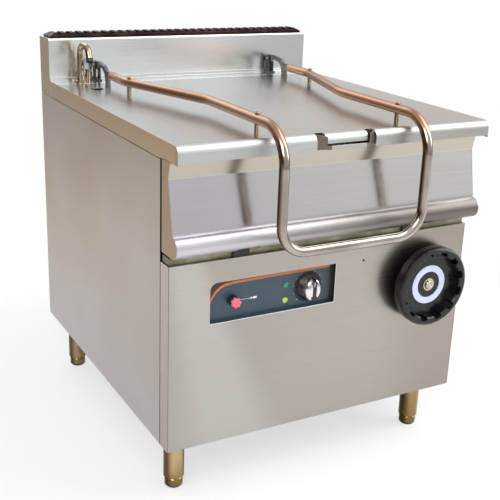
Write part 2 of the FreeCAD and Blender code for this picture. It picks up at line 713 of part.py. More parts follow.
def pouring_spout():
    """Tapered channel: floor with a rolled lip, and two cheeks."""
    wall = SHEET
    floor_low = DECK_LOW + DECK_SHEET
    root = SPOUT_ROOT_HALF
    lip = SPOUT_LIP_HALF
    plan = [(-root, TUB_FRONT, 0), (root, TUB_FRONT, 0), (root, SPOUT_ROOT_Y, 0),
            (lip, SPOUT_LIP_Y, 2), (-lip, SPOUT_LIP_Y, 2), (-root, SPOUT_ROOT_Y, 0)]
    shape = prism_z(plan, floor_low, SPOUT_CHEEK_TOP)
    in_root = root - wall
    in_lip = lip - wall
    inside = [(-in_root, TUB_FRONT + 1, 0), (in_root, TUB_FRONT + 1, 0),
              (in_root, SPOUT_ROOT_Y + wall, 0), (in_lip, SPOUT_LIP_Y - 2, 0),
              (-in_lip, SPOUT_LIP_Y - 2, 0), (-in_root, SPOUT_ROOT_Y + wall, 0)]
    shape = shape.cut(prism_z(inside, floor_low + 30, SPOUT_CHEEK_TOP + 1))
    hollow = prism_x([(TUB_FRONT + 1, floor_low + wall, 0), (0, floor_low + wall, 8),
                      (SPOUT_LIP_Y + 7, SPOUT_LIP_TOP - 2, 3), (SPOUT_LIP_Y + 2, SPOUT_LIP_TOP, 1),
                      (SPOUT_LIP_Y - 3, SPOUT_LIP_TOP, 0), (SPOUT_LIP_Y - 3, SPOUT_CHEEK_TOP + 1, 0),
                      (TUB_FRONT + 1, SPOUT_CHEEK_TOP + 1, 0)], -HALF, HALF)
    channel = prism_z(inside, floor_low, SPOUT_CHEEK_TOP + 1).common(hollow)
    shape = shape.cut(channel)
    below = prism_x([(SPOUT_LIP_Y - 3, floor_low - 5, 0), (BAND_TOP_Y - 1, floor_low - 5, 0),
                     (BAND_TOP_Y - 1, floor_low, 4), (SPOUT_LIP_Y + 6, SPOUT_LIP_LOW, 0),
                     (SPOUT_LIP_Y - 3, SPOUT_LIP_LOW, 0)], -HALF, HALF)
    above = prism_x([(TUB_FRONT + 1, SPOUT_BACK_TOP, 0), (LID_SLOT_REAR, SPOUT_BACK_TOP, 6),
                     (LID_SLOT_REAR - 4, SPOUT_CHEEK_TOP, 0), (LID_SLOT_REAR - 4, SPOUT_CHEEK_TOP + 2, 0),
                     (TUB_FRONT + 1, SPOUT_CHEEK_TOP + 2, 0)], -HALF, HALF)
    side = prism_x([(SPOUT_LIP_Y, floor_low, 0), (TUB_FRONT, floor_low, 0),
                    (TUB_FRONT, SPOUT_CHEEK_TOP, 0), (SPOUT_LIP_Y, SPOUT_CHEEK_TOP, SPOUT_CHEEK_R)],
                   -HALF, HALF)
    return shape.cut(below).cut(above).common(side)


def lid_outline(inset, low):
    """Side outline of the lid: flat top and a rounded nose, down to a level."""
    return [(LID_REAR - inset, low, 0), (LID_REAR - inset, LID_TOP - inset, 0),
            (NOSE_Y + inset, LID_TOP - inset, NOSE_R - inset), (NOSE_Y + inset, low, 0)]


def lid_skin():
    """Folded cover with a rounded front nose, skirts, the fill hole and two spout slots."""
    outer = prism_x(lid_outline(0, LID_SKIRT_LOW), -HALF, HALF)
    inner = prism_x(lid_outline(SHEET, LID_SKIRT_LOW - 1), -INNER_HALF, INNER_HALF)
    skin = outer.cut(inner)
    skin = skin.cut(block(-HALF - 1, HALF + 1, NOSE_Y - 1, SIDE_FRONT, LID_SKIRT_LOW - 2,
                          LID_FRONT_SKIRT_LOW))
    front_low = block(-INNER_HALF, INNER_HALF, NOSE_Y - 1, NOSE_Y + 6, LID_SKIRT_LOW - 2, NOSE_LOW)
    skin = skin.cut(front_low)
    rear_low = block(-INNER_HALF, INNER_HALF, LID_REAR - SHEET - 1, LID_REAR + 1, LID_SKIRT_LOW - 2,
                     DECK_LOW + DECK_SHEET + 1)
    skin = skin.cut(rear_low)
    for side in (-1, 1):
        x0 = min(side * LID_SLOT_IN, side * LID_SLOT_OUT)
        x1 = max(side * LID_SLOT_IN, side * LID_SLOT_OUT)
        skin = skin.cut(block(x0, x1, NOSE_Y - 1, LID_SLOT_REAR, LID_SKIRT_LOW, LID_TOP + 1))
    middle = block(-LID_SLOT_IN - 1, LID_SLOT_IN + 1, NOSE_Y - 1, NOSE_Y + 6, LID_SKIRT_LOW,
                   LID_MIDDLE_LOW)
    skin = skin.cut(middle)
    return skin.cut(rod_z(FILL_HOLE_R, LID_TOP - 5, LID_TOP + 1, FILL_HOLE[0], FILL_HOLE[1]))


def lid_liner():
    """Inner tray under the lid's skin, with upturned edges that meet it."""
    half = INNER_HALF - 6
    top = LID_TOP - SHEET
    outer = block(-half, half, LINER_FRONT, LID_REAR - 6, LINER_LOW, top)
    inner = block(-half + SHEET, half - SHEET, LINER_FRONT + SHEET, LID_REAR - 6 - SHEET,
                  LINER_LOW + SHEET, top + 1)
    tray = outer.cut(inner)
    return tray.cut(rod_z(FILL_HOLE_R, LINER_LOW - 1, LINER_LOW + 5, FILL_HOLE[0], FILL_HOLE[1]))


def tube_path():
    """Centre line of the lid handle from its left rear end round the front loop."""
    right = [(V(TUBE_REAR_X, TUBE_REAR_Y, TUBE_Z), 0),
             (V(TUBE_REAR_X, TUBE_BEND_Y, TUBE_Z), TUBE_BEND_R),
             (V(TUBE_FRONT_X, TUBE_BEND2_Y, TUBE_Z), TUBE_BEND_R),
             (V(TUBE_FRONT_X, TUBE_FRONT_Y, TUBE_Z), TUBE_DROP_R),
             (V(TUBE_FRONT_X, TUBE_FRONT_Y, TUBE_LOW_Z), TUBE_LOOP_R)]
    left = [(V(-point.x, point.y, point.z), radius) for point, radius in right]
    return left + right[::-1]


def arm_tongue(grow):
    """The end of a hinge arm that sits in the tube's slotted end."""
    half = ARM_THICK / 2 + grow
    return block(HINGE_X - half, HINGE_X + half, TUBE_REAR_Y - PLUG_LENGTH - grow,
                 TUBE_REAR_Y + 30, TUBE_Z - 30, TUBE_Z + 30)


def lid_handle():
    path = tube_path()
    tube = swept(path, TUBE_R).cut(swept(path, TUBE_R - TUBE_WALL))
    plug = rod_y(TUBE_R - TUBE_WALL / 2, TUBE_REAR_Y - 2 * PLUG_LENGTH, TUBE_REAR_Y, TUBE_REAR_X, TUBE_Z)
    slot = arm_tongue(0.2)
    tube = tube.fuse([plug, mirrored(plug)]).cut([slot, mirrored(slot)])
    for x, y in standoff_places():
        tube = tube.cut(rod_z(3.1, TUBE_Z - TUBE_R - 1, TUBE_Z + TUBE_R + 1, x, y))
    return tube


def standoff_places():
    """Where the stand-offs meet the tube's centre line."""
    lean = (TUBE_REAR_X - TUBE_FRONT_X) / (TUBE_BEND_Y - TUBE_BEND2_Y)
    rear_x = TUBE_REAR_X - (TUBE_BEND_Y - STANDOFF_REAR_Y) * lean + 0.8
    places = []
    for side in (-1, 1):
        places.append((side * rear_x, STANDOFF_REAR_Y))
        places.append((side * TUBE_FRONT_X, STANDOFF_FRONT_Y))
    return places


def handle_standoffs():
    result = []
    top = TUBE_Z - TUBE_R - 0.1
    for x, y in standoff_places():
        result.append(rod_z(STANDOFF_R, LID_TOP, top, x, y).cut(rod_z(3.1, LID_TOP + 2, top + 1, x, y)))
    return Part.makeCompound(result)


def standoff_screws():
    result = []
    head = TUBE_Z + TUBE_R + 0.1
    for x, y in standoff_places():
        profile = [(0, LID_TOP + 2.5), (3.0, LID_TOP + 2.5), (3.0, head), (6.0, head),
                   (6.0, head + 2), (4.0, head + 4.5), (0, head + 5)]
        result.append(turned_z(profile, x, y))
    return Part.makeCompound(result)


def hinge_arm():
    """Right arm: a hooked plate from the hinge pin over to the lid and the tube's end."""
    hub = ARM_HUB_R
    corners = [
        (HINGE_Y + hub, HINGE_Z - hub, hub - 0.01),
        (HINGE_Y + hub, HINGE_Z + hub, hub - 0.01),
        (HINGE_Y - 30, ARM_TOP, 14),
        (HINGE_Y - 68, ARM_TOP - 5, 20),
        (HINGE_Y - 84, TUBE_Z + 9, 8),
        (TUBE_REAR_Y - PLUG_LENGTH, TUBE_Z + 9, 3),
        (TUBE_REAR_Y - PLUG_LENGTH, TUBE_Z - 9, 3),
        (HINGE_Y - ARM_FOOT_FRONT, TUBE_Z - 9, 4),
        (HINGE_Y - ARM_FOOT_FRONT, LID_TOP, 0),
        (HINGE_Y - ARM_FOOT_REAR, LID_TOP, 0),
        (HINGE_Y - 72, TUBE_Z, 12),
        (HINGE_Y - 56, HINGE_Z - 4, 12),
        (HINGE_Y - 30, HINGE_Z - 2, 10),
        (HINGE_Y - hub, HINGE_Z - hub, hub * 0.8),
    ]
    half = ARM_THICK / 2
    plate = prism_x(corners, HINGE_X - half, HINGE_X + half)
    bore = rod_x(HINGE_PIN_R + PIN_FIT, HINGE_X - 20, HINGE_X + 20, HINGE_Y, HINGE_Z)
    return plate.cut(bore)


def hinge_post():
    """Right post: a foot on the rear deck and two cheeks round the arm's hub."""
    inner = ARM_THICK / 2 + POST_GAP
    outer = inner + POST_WALL
    r = POST_HUB_R
    cheek = [(HINGE_Y - r, LID_TOP, 0), (HINGE_Y + r, LID_TOP, 0), (HINGE_Y + r, HINGE_Z + r, r - 0.01),
             (HINGE_Y - r, HINGE_Z + r, r - 0.01)]
    post = prism_x(cheek, HINGE_X - outer, HINGE_X + outer)
    foot = block(HINGE_X - outer, HINGE_X + outer, HINGE_Y - 19, HINGE_Y + r, LID_TOP, LID_TOP + 4)
    gap = block(HINGE_X - inner, HINGE_X + inner, HINGE_Y - 30, HINGE_Y + 20, LID_TOP + 4, HINGE_Z + 30)
    bore = rod_x(HINGE_PIN_R + PIN_FIT, HINGE_X - 20, HINGE_X + 20, HINGE_Y, HINGE_Z)
    return post.fuse(foot).cut(gap).cut(bore).removeSplitter()


def hinge_pins():
    result = []
    reach = ARM_THICK / 2 + POST_GAP + POST_WALL + 2
    for side in (-1, 1):
        x = side * HINGE_X
        result.append(rod_x(HINGE_PIN_R, x - reach, x + reach, HINGE_Y, HINGE_Z))
    return Part.makeCompound(result)


def tap_body():
    """Base flange, body and side valve block of the water tap."""
    body = turned_z([(TAP_RISER_R + RUN_GAP, LID_TOP + 6), (TAP_RISER_R + RUN_GAP, TAP_BODY_TOP),
                     (TAP_BODY_R, TAP_BODY_TOP), (TAP_BODY_R, LID_TOP + 5), (17, LID_TOP + 3),
                     (17, LID_TOP), (5, LID_TOP), (5, LID_TOP + 6)], TAP_X, TAP_Y)
    stem = block(TAP_X + TAP_BODY_R - 2, TAP_X + TAP_BLOCK_X, TAP_Y - 5, TAP_Y + 5, LID_TOP + 4, LID_TOP + 14)
    valve = rod_z(7.0, LID_TOP, LID_TOP + 24, TAP_X + TAP_BLOCK_X, TAP_Y)
    stem_cut = rod_z(TAP_RISER_R + RUN_GAP, LID_TOP + 6, TAP_BODY_TOP + 1, TAP_X, TAP_Y)
    return body.fuse([stem.cut(stem_cut), valve]).removeSplitter()


def tap_lever():
    x = TAP_X + TAP_BLOCK_X
    low = LID_TOP + 24.3
    hub = rod_z(6.5, low, low + 9, x, TAP_Y)
    grip = prism_z(rectangle(x - 3.5, x + 3.5, TAP_Y - 24, TAP_Y, 3.4), low + 5, low + 9)
    return hub.fuse(grip).removeSplitter()


def tap_spout():
    """Swivelling gooseneck with an open end."""
    r = TAP_RISER_R
    end = V(TAP_X, TAP_Y - TAP_REACH, TAP_TOP_Z - TAP_SLANT)
    path = [(V(TAP_X, TAP_Y, LID_TOP + 6.3), 0), (V(TAP_X, TAP_Y, TAP_TOP_Z + 12), 26),
            (V(TAP_X, TAP_Y - 62, TAP_TOP_Z + 12), 24), (end, 0)]
    return swept(path, r).cut(swept(path, r - TAP_WALL))


def handwheel():
    """Moulded wheel: deep rim with finger notches round its inside, disc and hub."""
    r = WHEEL_R
    rim_in = r - WHEEL_RIM - NOTCH_DEPTH
    disc_back = WHEEL_FACE + WHEEL_DISC
    profile = [(SHAFT_R + PIN_FIT, WHEEL_FACE), (rim_in, WHEEL_FACE), (rim_in, WHEEL_FRONT + 3),
               (rim_in + 3, WHEEL_FRONT), (r - 6, WHEEL_FRONT), (r - 1.5, WHEEL_FRONT + 3),
               (r, WHEEL_FRONT + 8), (r, WHEEL_BACK - 8), (r - 3, WHEEL_BACK - 2),
               (r - 8, WHEEL_BACK), (rim_in + 2, disc_back), (WHEEL_HUB_R, disc_back),
               (WHEEL_HUB_R - 3, WHEEL_HUB_BACK), (SHAFT_R + PIN_FIT, WHEEL_HUB_BACK)]
    wheel = turned(profile, WHEEL_X, WHEEL_Z)
    width = 2 * math.pi * rim_in / WHEEL_NOTCHES * NOTCH_SHARE
    notch = prism_y(rectangle(WHEEL_X - width / 2, WHEEL_X + width / 2, WHEEL_Z + rim_in - 6,
                              WHEEL_Z + rim_in + NOTCH_DEPTH, 4), WHEEL_FRONT - 1, WHEEL_FACE)
    for index in range(WHEEL_NOTCHES):
        cutter = notch.copy()
        cutter.rotate(V(WHEEL_X, 0, WHEEL_Z), V(0, 1, 0), 360 / WHEEL_NOTCHES * (index + 0.5))
        wheel = wheel.cut(cutter)
    return wheel


def handwheel_ring():
    ring = rod_y(RING_R_OUT, WHEEL_FACE - RING_THICK, WHEEL_FACE, WHEEL_X, WHEEL_Z)
    return ring.cut(rod_y(RING_R_IN, WHEEL_FACE - 5, WHEEL_FACE + 1, WHEEL_X, WHEEL_Z))


def handwheel_bolt():
    r = BOLT_R
    front = WHEEL_FACE - 7
    profile = [(0, front + 1.5), (5, front + 1.5), (6, front), (r - 2, front), (r - 1, front + 1),
               (r, WHEEL_FACE - 2), (r + 4, WHEEL_FACE - 2), (r + 4, WHEEL_FACE), (0, WHEEL_FACE)]
    return turned(profile, WHEEL_X, WHEEL_Z)


def worm_shaft():
    return rod_y(SHAFT_R, WHEEL_FACE, SHAFT_END_Y, WHEEL_X, WHEEL_Z)


def shaft_bearing():
    """Flanged bearing behind the front panel that carries the worm shaft."""
    bore = SHAFT_R + PIN_FIT
    profile = [(bore, SHEET - 5), (SHAFT_R + 5.5, SHEET - 5), (SHAFT_R + 5.5, SHEET),
               (34, SHEET), (34, SHEET + 6), (20, SHEET + 8), (20, SHEET + 24), (bore, SHEET + 24)]
    return turned(profile, WHEEL_X, WHEEL_Z)


def gearbox_housing():
    """Closed worm gearbox: worm case below, wheel case above, with shaft bosses."""
    worm_r = 26.0
    wheel_r = 56.0
    case = rod_y(worm_r, PINION_Y - 48, PINION_Y + 48, WHEEL_X, WHEEL_Z)
    x0 = GEARBOX_X + 12
    x1 = GEARBOX_X + GEARBOX_WIDTH - 12
    drum = prism_x([(PINION_Y - 40, WHEEL_Z - worm_r, 8), (PINION_Y + 40, WHEEL_Z - worm_r, 8),
                    (PINION_Y + wheel_r, PINION_Z, 20), (PINION_Y + wheel_r - 18, PINION_Z + wheel_r, 30),
                    (PINION_Y - wheel_r + 18, PINION_Z + wheel_r, 30), (PINION_Y - wheel_r, PINION_Z, 20)],
                   x0, x1)
    boss = rod_x(24, GEARBOX_X, GEARBOX_X + GEARBOX_WIDTH, PINION_Y, PINION_Z)
    foot = block(GEARBOX_X + 4, GEARBOX_X + GEARBOX_WIDTH - 4,
                 PINION_Y - GEARBOX_FOOT_HALF, PINION_Y + GEARBOX_FOOT_HALF,
                 WHEEL_Z - GEARBOX_FOOT_LOW, WHEEL_Z - GEARBOX_FOOT_TOP)
    housing = case.fuse([drum, boss, foot])
    housing = housing.cut(rod_y(SHAFT_R + PIN_FIT, PINION_Y - 60, PINION_Y + 60, WHEEL_X, WHEEL_Z))
    bore = rod_x(PINION_SHAFT_R + PIN_FIT, GEARBOX_X - 1, GEARBOX_X + GEARBOX_WIDTH + 1, PINION_Y, PINION_Z)
    return housing.cut(bore).removeSplitter()


def gearbox_stand():
    """Folded stand from the base tray up to the gearbox's foot."""
    wall = 4.0
    low = FLOOR_GAP + 2 * SHEET
    x0 = GEARBOX_X + 4
    x1 = GEARBOX_X + GEARBOX_WIDTH - 4
    y0 = PINION_Y - GEARBOX_FOOT_HALF
    y1 = PINION_Y + GEARBOX_FOOT_HALF
    top = WHEEL_Z - GEARBOX_FOOT_LOW
    outer = block(x0, x1, y0, y1, low, top)
    inner = block(x0 + wall, x1 - wall, y0 - 1, y1 + 1, low - 1, top - wall)
    foot_left = block(x0 - GEARBOX_FOOT_FLANGE, x0, y0, y1, low, low + wall)
    foot_right = block(x1, x1 + GEARBOX_FOOT_FLANGE, y0, y1, low, low + wall)
    return outer.cut(inner).fuse([foot_left, foot_right]).removeSplitter()


def involute_half_angle(base_r, radius, pitch_half, pitch_r):
    """Half the tooth's angle at a radius, for an involute of a base circle."""
    def spread(at):
        turn = math.acos(min(1.0, base_r / at))
        return math.tan(turn) - turn
    return pitch_half + spread(pitch_r) - spread(max(radius, base_r))


def tooth_points(teeth, centre_angle, root_r, tip_r):
    """Flank points (radius, angle) of one tooth, up one side and down the other."""
    pitch_r = MODULE * teeth / 2
    base_r = pitch_r * math.cos(math.radians(PRESSURE_ANGLE))
    pitch_half = math.pi / 2 / teeth - TOOTH_PLAY / 2 / pitch_r
    start_r = max(base_r, root_r)
    steps = [start_r + (tip_r - start_r) * k / 3 for k in range(4)]
    if root_r < base_r:
        steps = [root_r] + steps
    halves = [(r, involute_half_angle(base_r, r, pitch_half, pitch_r)) for r in steps]
    rise = [(r, centre_angle - half) for r, half in halves]
    fall = [(r, centre_angle + half) for r, half in reversed(halves)]
    return rise + fall


def polar(x, y, z, radius, angle):
    return V(x, y + radius * math.cos(angle), z + radius * math.sin(angle))


def drive_pinion():
    root_r = PINION_PITCH_R - 1.25 * MODULE
    tip_r = PINION_PITCH_R + PINION_ADDENDUM * MODULE
    facing = math.radians(PINION_ANGLE) + math.pi
    x0 = QUADRANT_X - 2
    points = []
    for index in range(PINION_TEETH):
        centre = facing + 2 * math.pi * index / PINION_TEETH
        for radius, angle in tooth_points(PINION_TEETH, centre, root_r, tip_r):
            points.append(polar(x0, PINION_Y, PINION_Z, radius, angle))
    gear = Part.Face(Part.makePolygon(points + [points[0]])).extrude(V(QUADRANT_THICK + 4, 0, 0))
    hub = rod_x(PINION_SHAFT_R + 7, x0 - 10, x0, PINION_Y, PINION_Z)
    bore = rod_x(PINION_SHAFT_R + PIN_FIT, x0 - 11, x0 + QUADRANT_THICK + 5, PINION_Y, PINION_Z)
    return gear.fuse(hub).cut(bore).removeSplitter()


def pinion_shaft():
    return rod_x(PINION_SHAFT_R, GEARBOX_X + 2, QUADRANT_X + QUADRANT_THICK + 8, PINION_Y, PINION_Z)


def tilt_quadrant():
    """Toothed quadrant beside the tub: involute teeth, a web with windows, and its bosses."""
    x0 = QUADRANT_X
    root_r = QUADRANT_PITCH_R - 1.25 * MODULE
    tip_r = QUADRANT_PITCH_R + QUADRANT_ADDENDUM * MODULE
    pitch = 2 * math.pi / QUADRANT_TEETH
    mesh = math.radians(PINION_ANGLE)
    low = math.radians(QUADRANT_LOW_ANGLE)
    high = math.radians(QUADRANT_HIGH_ANGLE)
    first = math.ceil((low - mesh) / pitch - 0.5)
    last = math.floor((high - mesh) / pitch - 0.5)
    points = [polar(x0, AXIS_Y, AXIS_Z, root_r, mesh + first * pitch)]
    for index in range(first, last + 1):
        centre = mesh + (index + 0.5) * pitch
        for radius, angle in tooth_points(QUADRANT_TEETH, centre, root_r, tip_r):
            points.append(polar(x0, AXIS_Y, AXIS_Z, radius, angle))
    end = polar(x0, AXIS_Y, AXIS_Z, root_r, mesh + (last + 1) * pitch)
    points.append(end)
    points.append(V(x0, end.y - 6, QUADRANT_TOP_Z))
    points.append(V(x0, QUADRANT_FRONT_Y, QUADRANT_TOP_Z))
    points.append(V(x0, QUADRANT_FRONT_Y, points[0].z))
    plate = Part.Face(Part.makePolygon(points + [points[0]])).extrude(V(QUADRANT_THICK, 0, 0))
    plate = plate.cut(rod_x(QUADRANT_BORE_R, x0 - 1, x0 + QUADRANT_THICK + 1, AXIS_Y, AXIS_Z))
    for index in range(WINDOW_COUNT):
        angle = math.radians(-30 - 18 * index)
        for radius in WINDOW_RINGS:
            centre = polar(x0, AXIS_Y, AXIS_Z, radius, angle)
            hole = rod_x(WINDOW_R, x0 - 1, x0 + QUADRANT_THICK + 1, centre.y, centre.z)
            plate = plate.cut(hole)
    for offset in BOSS_OFFSETS:
        plate = plate.fuse(rod_x(BOSS_R, TUB_HALF, x0, TUB_FRONT + offset, QUADRANT_TOP_Z - 20))
    return plate.removeSplitter()


def heating_elements():
    """Three hairpin elements clamped under the tub's base."""
    result = []
    z = TUB_LOW - ELEMENT_R - 0.2
    start_y = COVER_FRONT + 25
    end_y = COVER_REAR - 25
    zone = 2 * (COVER_HALF - 20) / ELEMENT_COUNT
    for index in range(ELEMENT_COUNT):
        centre = (index - (ELEMENT_COUNT - 1) / 2) * zone
        x = centre - ELEMENT_PITCH * (ELEMENT_LEGS - 1) / 2
        points = [(V(x, end_y, z), 0)]
        for leg_index in range(ELEMENT_LEGS - 1):
            y = start_y if leg_index % 2 == 0 else end_y - 30
            bend = ELEMENT_PITCH / 2 - 0.5
            points.append((V(x, y, z), bend))
            x += ELEMENT_PITCH
            points.append((V(x, y, z), bend))
        points.append((V(x, end_y, z), 0))
        result.append(swept(points, ELEMENT_R))
    return Part.makeCompound(result)


def heater_cover():
    outer = block(-COVER_HALF, COVER_HALF, COVER_FRONT, COVER_REAR, COVER_LOW, TUB_LOW)
    inner = block(-COVER_HALF + SHEET, COVER_HALF - SHEET, COVER_FRONT + SHEET, COVER_REAR - SHEET,
                  COVER_LOW + SHEET, TUB_LOW + 1)
    return outer.cut(inner)


def splashback():
    """Hollow upstand with the flue's mouth in its top."""
    low = LID_SKIRT_LOW
    outer = prism_x([(SPLASH_FRONT, low, 0), (REAR_Y, low, 0), (REAR_Y, SPLASH_TOP, 3),
                     (SPLASH_FRONT, SPLASH_TOP, 5)], -HALF, HALF)
    inner = prism_x([(SPLASH_FRONT + SHEET, low - 1, 0), (REAR_Y - SHEET, low - 1, 0),
                     (REAR_Y - SHEET, SPLASH_TOP - SHEET, 1.5),
                     (SPLASH_FRONT + SHEET, SPLASH_TOP - SHEET, 3.5)], -INNER_HALF, INNER_HALF)
    box = outer.cut(inner)
    for side in (-1, 1):
        x0 = side * (INNER_HALF - RETURN_WIDTH / 2) - RETURN_WIDTH / 2
        foot = block(x0, x0 + RETURN_WIDTH, SPLASH_FRONT, REAR_Y, SIDE_TOP, low + SHEET)
        box = box.fuse(foot)
    mouth = block(-GRILLE_HALF + 16, GRILLE_HALF - 16, GRILLE_FRONT + 8, GRILLE_REAR - 8,
                  SPLASH_TOP - 5, SPLASH_TOP + 1)
    return box.cut(mouth).removeSplitter()


def flue_grille():
    """Cast cover with a row of slots through its sloping edges and top."""
    top = SPLASH_TOP + GRILLE_HEIGHT
    slope = 9.0
    section = [(GRILLE_FRONT, SPLASH_TOP, 0), (GRILLE_REAR, SPLASH_TOP, 0), (GRILLE_REAR, top - 7, 2),
               (GRILLE_REAR - slope, top, 4), (GRILLE_FRONT + slope, top, 4), (GRILLE_FRONT, top - 7, 2)]
    body = prism_x(section, -GRILLE_HALF, GRILLE_HALF)
    ends = [(-GRILLE_HALF, SPLASH_TOP - 1, 0), (GRILLE_HALF, SPLASH_TOP - 1, 0),
            (GRILLE_HALF, SPLASH_TOP + 5, 0), (GRILLE_HALF - 2 * slope, top + 1, 0),
            (-GRILLE_HALF + 2 * slope, top + 1, 0), (-GRILLE_HALF, SPLASH_TOP + 5, 0)]
    body = body.common(prism_y(ends, GRILLE_FRONT - 1, GRILLE_REAR + 1))
    hollow = block(-GRILLE_HALF + 20, GRILLE_HALF - 20, GRILLE_FRONT + 14, GRILLE_REAR - 14,
                   SPLASH_TOP - 1, top - 5)
    body = body.cut(hollow)
    pitch = 2 * (GRILLE_HALF - 30) / (GRILLE_SLOTS - 1)
    cutters = []
    for index in range(GRILLE_SLOTS):
        x0 = -GRILLE_HALF + 30 + index * pitch - GRILLE_SLOT_WIDTH / 2
        cutters.append(block(x0, x0 + GRILLE_SLOT_WIDTH, GRILLE_FRONT + 5, GRILLE_REAR - 5,
                             SPLASH_TOP + 4, top + 1))
    return body.cut(cutters)


def terminal_box():
    low = FLOOR_GAP + 2 * SHEET
    top = low + TERMINAL_HEIGHT
    x0 = GLAND_X - TERMINAL_LEFT
    x1 = GLAND_X + TERMINAL_RIGHT
    y0 = GLAND_Y + TERMINAL_FRONT
    y1 = y0 + TERMINAL_DEPTH
    rim = TERMINAL_RIM
    box = prism_z(rectangle(x0, x1, y0, y1, 2 * rim), low, top)
    lid = prism_z(rectangle(x0 - rim, x1 + rim, y0 - rim, y1 + rim, 8), top, top + 2 * rim)
    return box.fuse(lid).removeSplitter()


def cable_gland():
    """Gland through the base tray: hexagon and sleeve with the cable's bore."""
    low = FLOOR_GAP - 16
    top = FLOOR_GAP + 22
    sleeve = rod_z(GLAND_BORE_R + 4, low, top, GLAND_X, GLAND_Y)
    corners = []
    for index in range(6):
        angle = math.radians(60 * index)
        corners.append((GLAND_X + 16 * math.cos(angle), GLAND_Y + 16 * math.sin(angle), 0))
    nut_low = prism_z(corners, FLOOR_GAP + SHEET - 8, FLOOR_GAP + SHEET)
    nut_high = prism_z(corners, FLOOR_GAP + 2 * SHEET, FLOOR_GAP + 2 * SHEET + 6)
    gland = sleeve.fuse([nut_low, nut_high])
    return gland.cut(rod_z(GLAND_BORE_R, low - 1, top + 1, GLAND_X, GLAND_Y)).removeSplitter()


def water_inlet():
    """Threaded stub that points down out of the base tray."""
    low = FLOOR_GAP - 25
    top = FLOOR_GAP + 60
    stub = rod_z(INLET_R, low, low + INLET_THREAD, INLET_X, INLET_Y)
    stub = stub.fuse(rod_z(INLET_NECK_R, low + INLET_THREAD, top, INLET_X, INLET_Y))
    flange = rod_z(18, FLOOR_GAP + 2 * SHEET, FLOOR_GAP + 2 * SHEET + 8, INLET_X, INLET_Y)
    return stub.fuse(flange).cut(rod_z(INLET_BORE_R, low - 1, top + 1, INLET_X, INLET_Y)).removeSplitter()


def all_pieces():
    """Every node's name and shape."""
    pieces = {
        "base_tray": base_tray(),
        "right_side_panel": right_side_panel(),
        "left_side_panel": mirrored(right_side_panel()),
        "rear_panel": rear_panel(),
        "front_panel": front_panel(),
        "control_plate": control_plate(),
        "thermostat_knob": thermostat_knob(),
        "thermostat_body": thermostat_body(),
        "switch_knob": switch_knob(),
        "switch_body": switch_body(),
        "front_legs": leg_pair(LEG_FRONT_Y),
        "rear_legs": leg_pair(LEG_REAR_Y),
        "screw_feet": feet(),
        "corner_posts": corner_posts(),
        "front_crossmember": front_crossmember(),
        "pivot_lug_right": pivot_lug(),
        "pivot_lug_left": mirrored(pivot_lug()),
        "pivot_bushes": pivot_bushes(),
        "splashback": splashback(),
        "flue_grille": flue_grille(),
        "shaft_bearing": shaft_bearing(),
        "gearbox_housing": gearbox_housing(),
        "gearbox_stand": gearbox_stand(),
        "terminal_box": terminal_box(),
        "cable_gland": cable_gland(),
        "water_inlet": water_inlet(),
        "handwheel": handwheel(),
        "handwheel_ring": handwheel_ring(),
        "handwheel_bolt": handwheel_bolt(),
        "worm_shaft": worm_shaft(),
        "drive_pinion": drive_pinion(),
        "pinion_shaft": pinion_shaft(),
        "pan_tub": pan_tub(),
        "pan_front_skin": pan_front_skin(),
        "pan_end_plate_right": pan_end_plate(),
        "pan_end_plate_left": mirrored(pan_end_plate()),
        "pan_rear_strip": pan_rear_strip(),
        "pouring_spout": pouring_spout(),
        "tilt_bracket_right": tilt_bracket(),
        "tilt_bracket_left": mirrored(tilt_bracket()),
        "tilt_pins": tilt_pins(),
        "tilt_quadrant": tilt_quadrant(),
        "heating_elements": heating_elements(),
        "heater_cover": heater_cover(),
        "hinge_post_right": hinge_post(),
        "hinge_post_left": mirrored(hinge_post()),
        "hinge_pins": hinge_pins(),
        "tap_body": tap_body(),
        "tap_lever": tap_lever(),
        "tap_spout": tap_spout(),
        "lid_skin": lid_skin(),
        "lid_liner": lid_liner(),
        "lid_handle": lid_handle(),
        "handle_standoffs": handle_standoffs(),
        "standoff_screws": standoff_screws(),
        "hinge_arm_right": hinge_arm(),
        "hinge_arm_left": mirrored(hinge_arm()),
    }
    for name, z in LAMP_HEIGHTS.items():
        pieces[name] = lamp(z)
    return pieces


def main():
    os.makedirs("parts", exist_ok=True)
    for name, shape in all_pieces().items():
        shape.translate(V(0, SHIFT_Y, 0))
        shape.exportStep("parts/" + name + ".step")


main()
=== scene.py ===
"""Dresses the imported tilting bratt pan: finishes, small trim, stage, lamps and camera."""
import bmesh
import bpy
import math
from mathutils import Matrix
from mathutils import Vector


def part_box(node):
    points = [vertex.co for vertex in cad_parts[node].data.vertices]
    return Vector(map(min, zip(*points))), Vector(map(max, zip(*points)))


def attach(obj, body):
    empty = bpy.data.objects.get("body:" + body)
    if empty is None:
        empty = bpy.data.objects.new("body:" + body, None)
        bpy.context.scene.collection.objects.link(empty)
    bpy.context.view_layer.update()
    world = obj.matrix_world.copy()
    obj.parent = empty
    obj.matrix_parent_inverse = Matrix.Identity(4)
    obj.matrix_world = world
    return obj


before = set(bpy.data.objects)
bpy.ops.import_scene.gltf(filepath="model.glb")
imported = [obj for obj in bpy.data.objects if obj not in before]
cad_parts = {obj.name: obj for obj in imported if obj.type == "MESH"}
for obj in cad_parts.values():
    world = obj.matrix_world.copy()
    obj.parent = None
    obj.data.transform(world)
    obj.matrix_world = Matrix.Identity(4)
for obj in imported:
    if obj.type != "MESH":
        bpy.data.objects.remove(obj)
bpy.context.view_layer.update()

bl_info = {
    "name": "Tilting bratt pan",
    "version": (1, 0, 0),
    "blender": (4, 5, 0),
    "location": "3D View > Sidebar > Bratt Pan",
    "description": "Finishes and small pieces of a tilting bratt pan",
    "category": "Object",
}

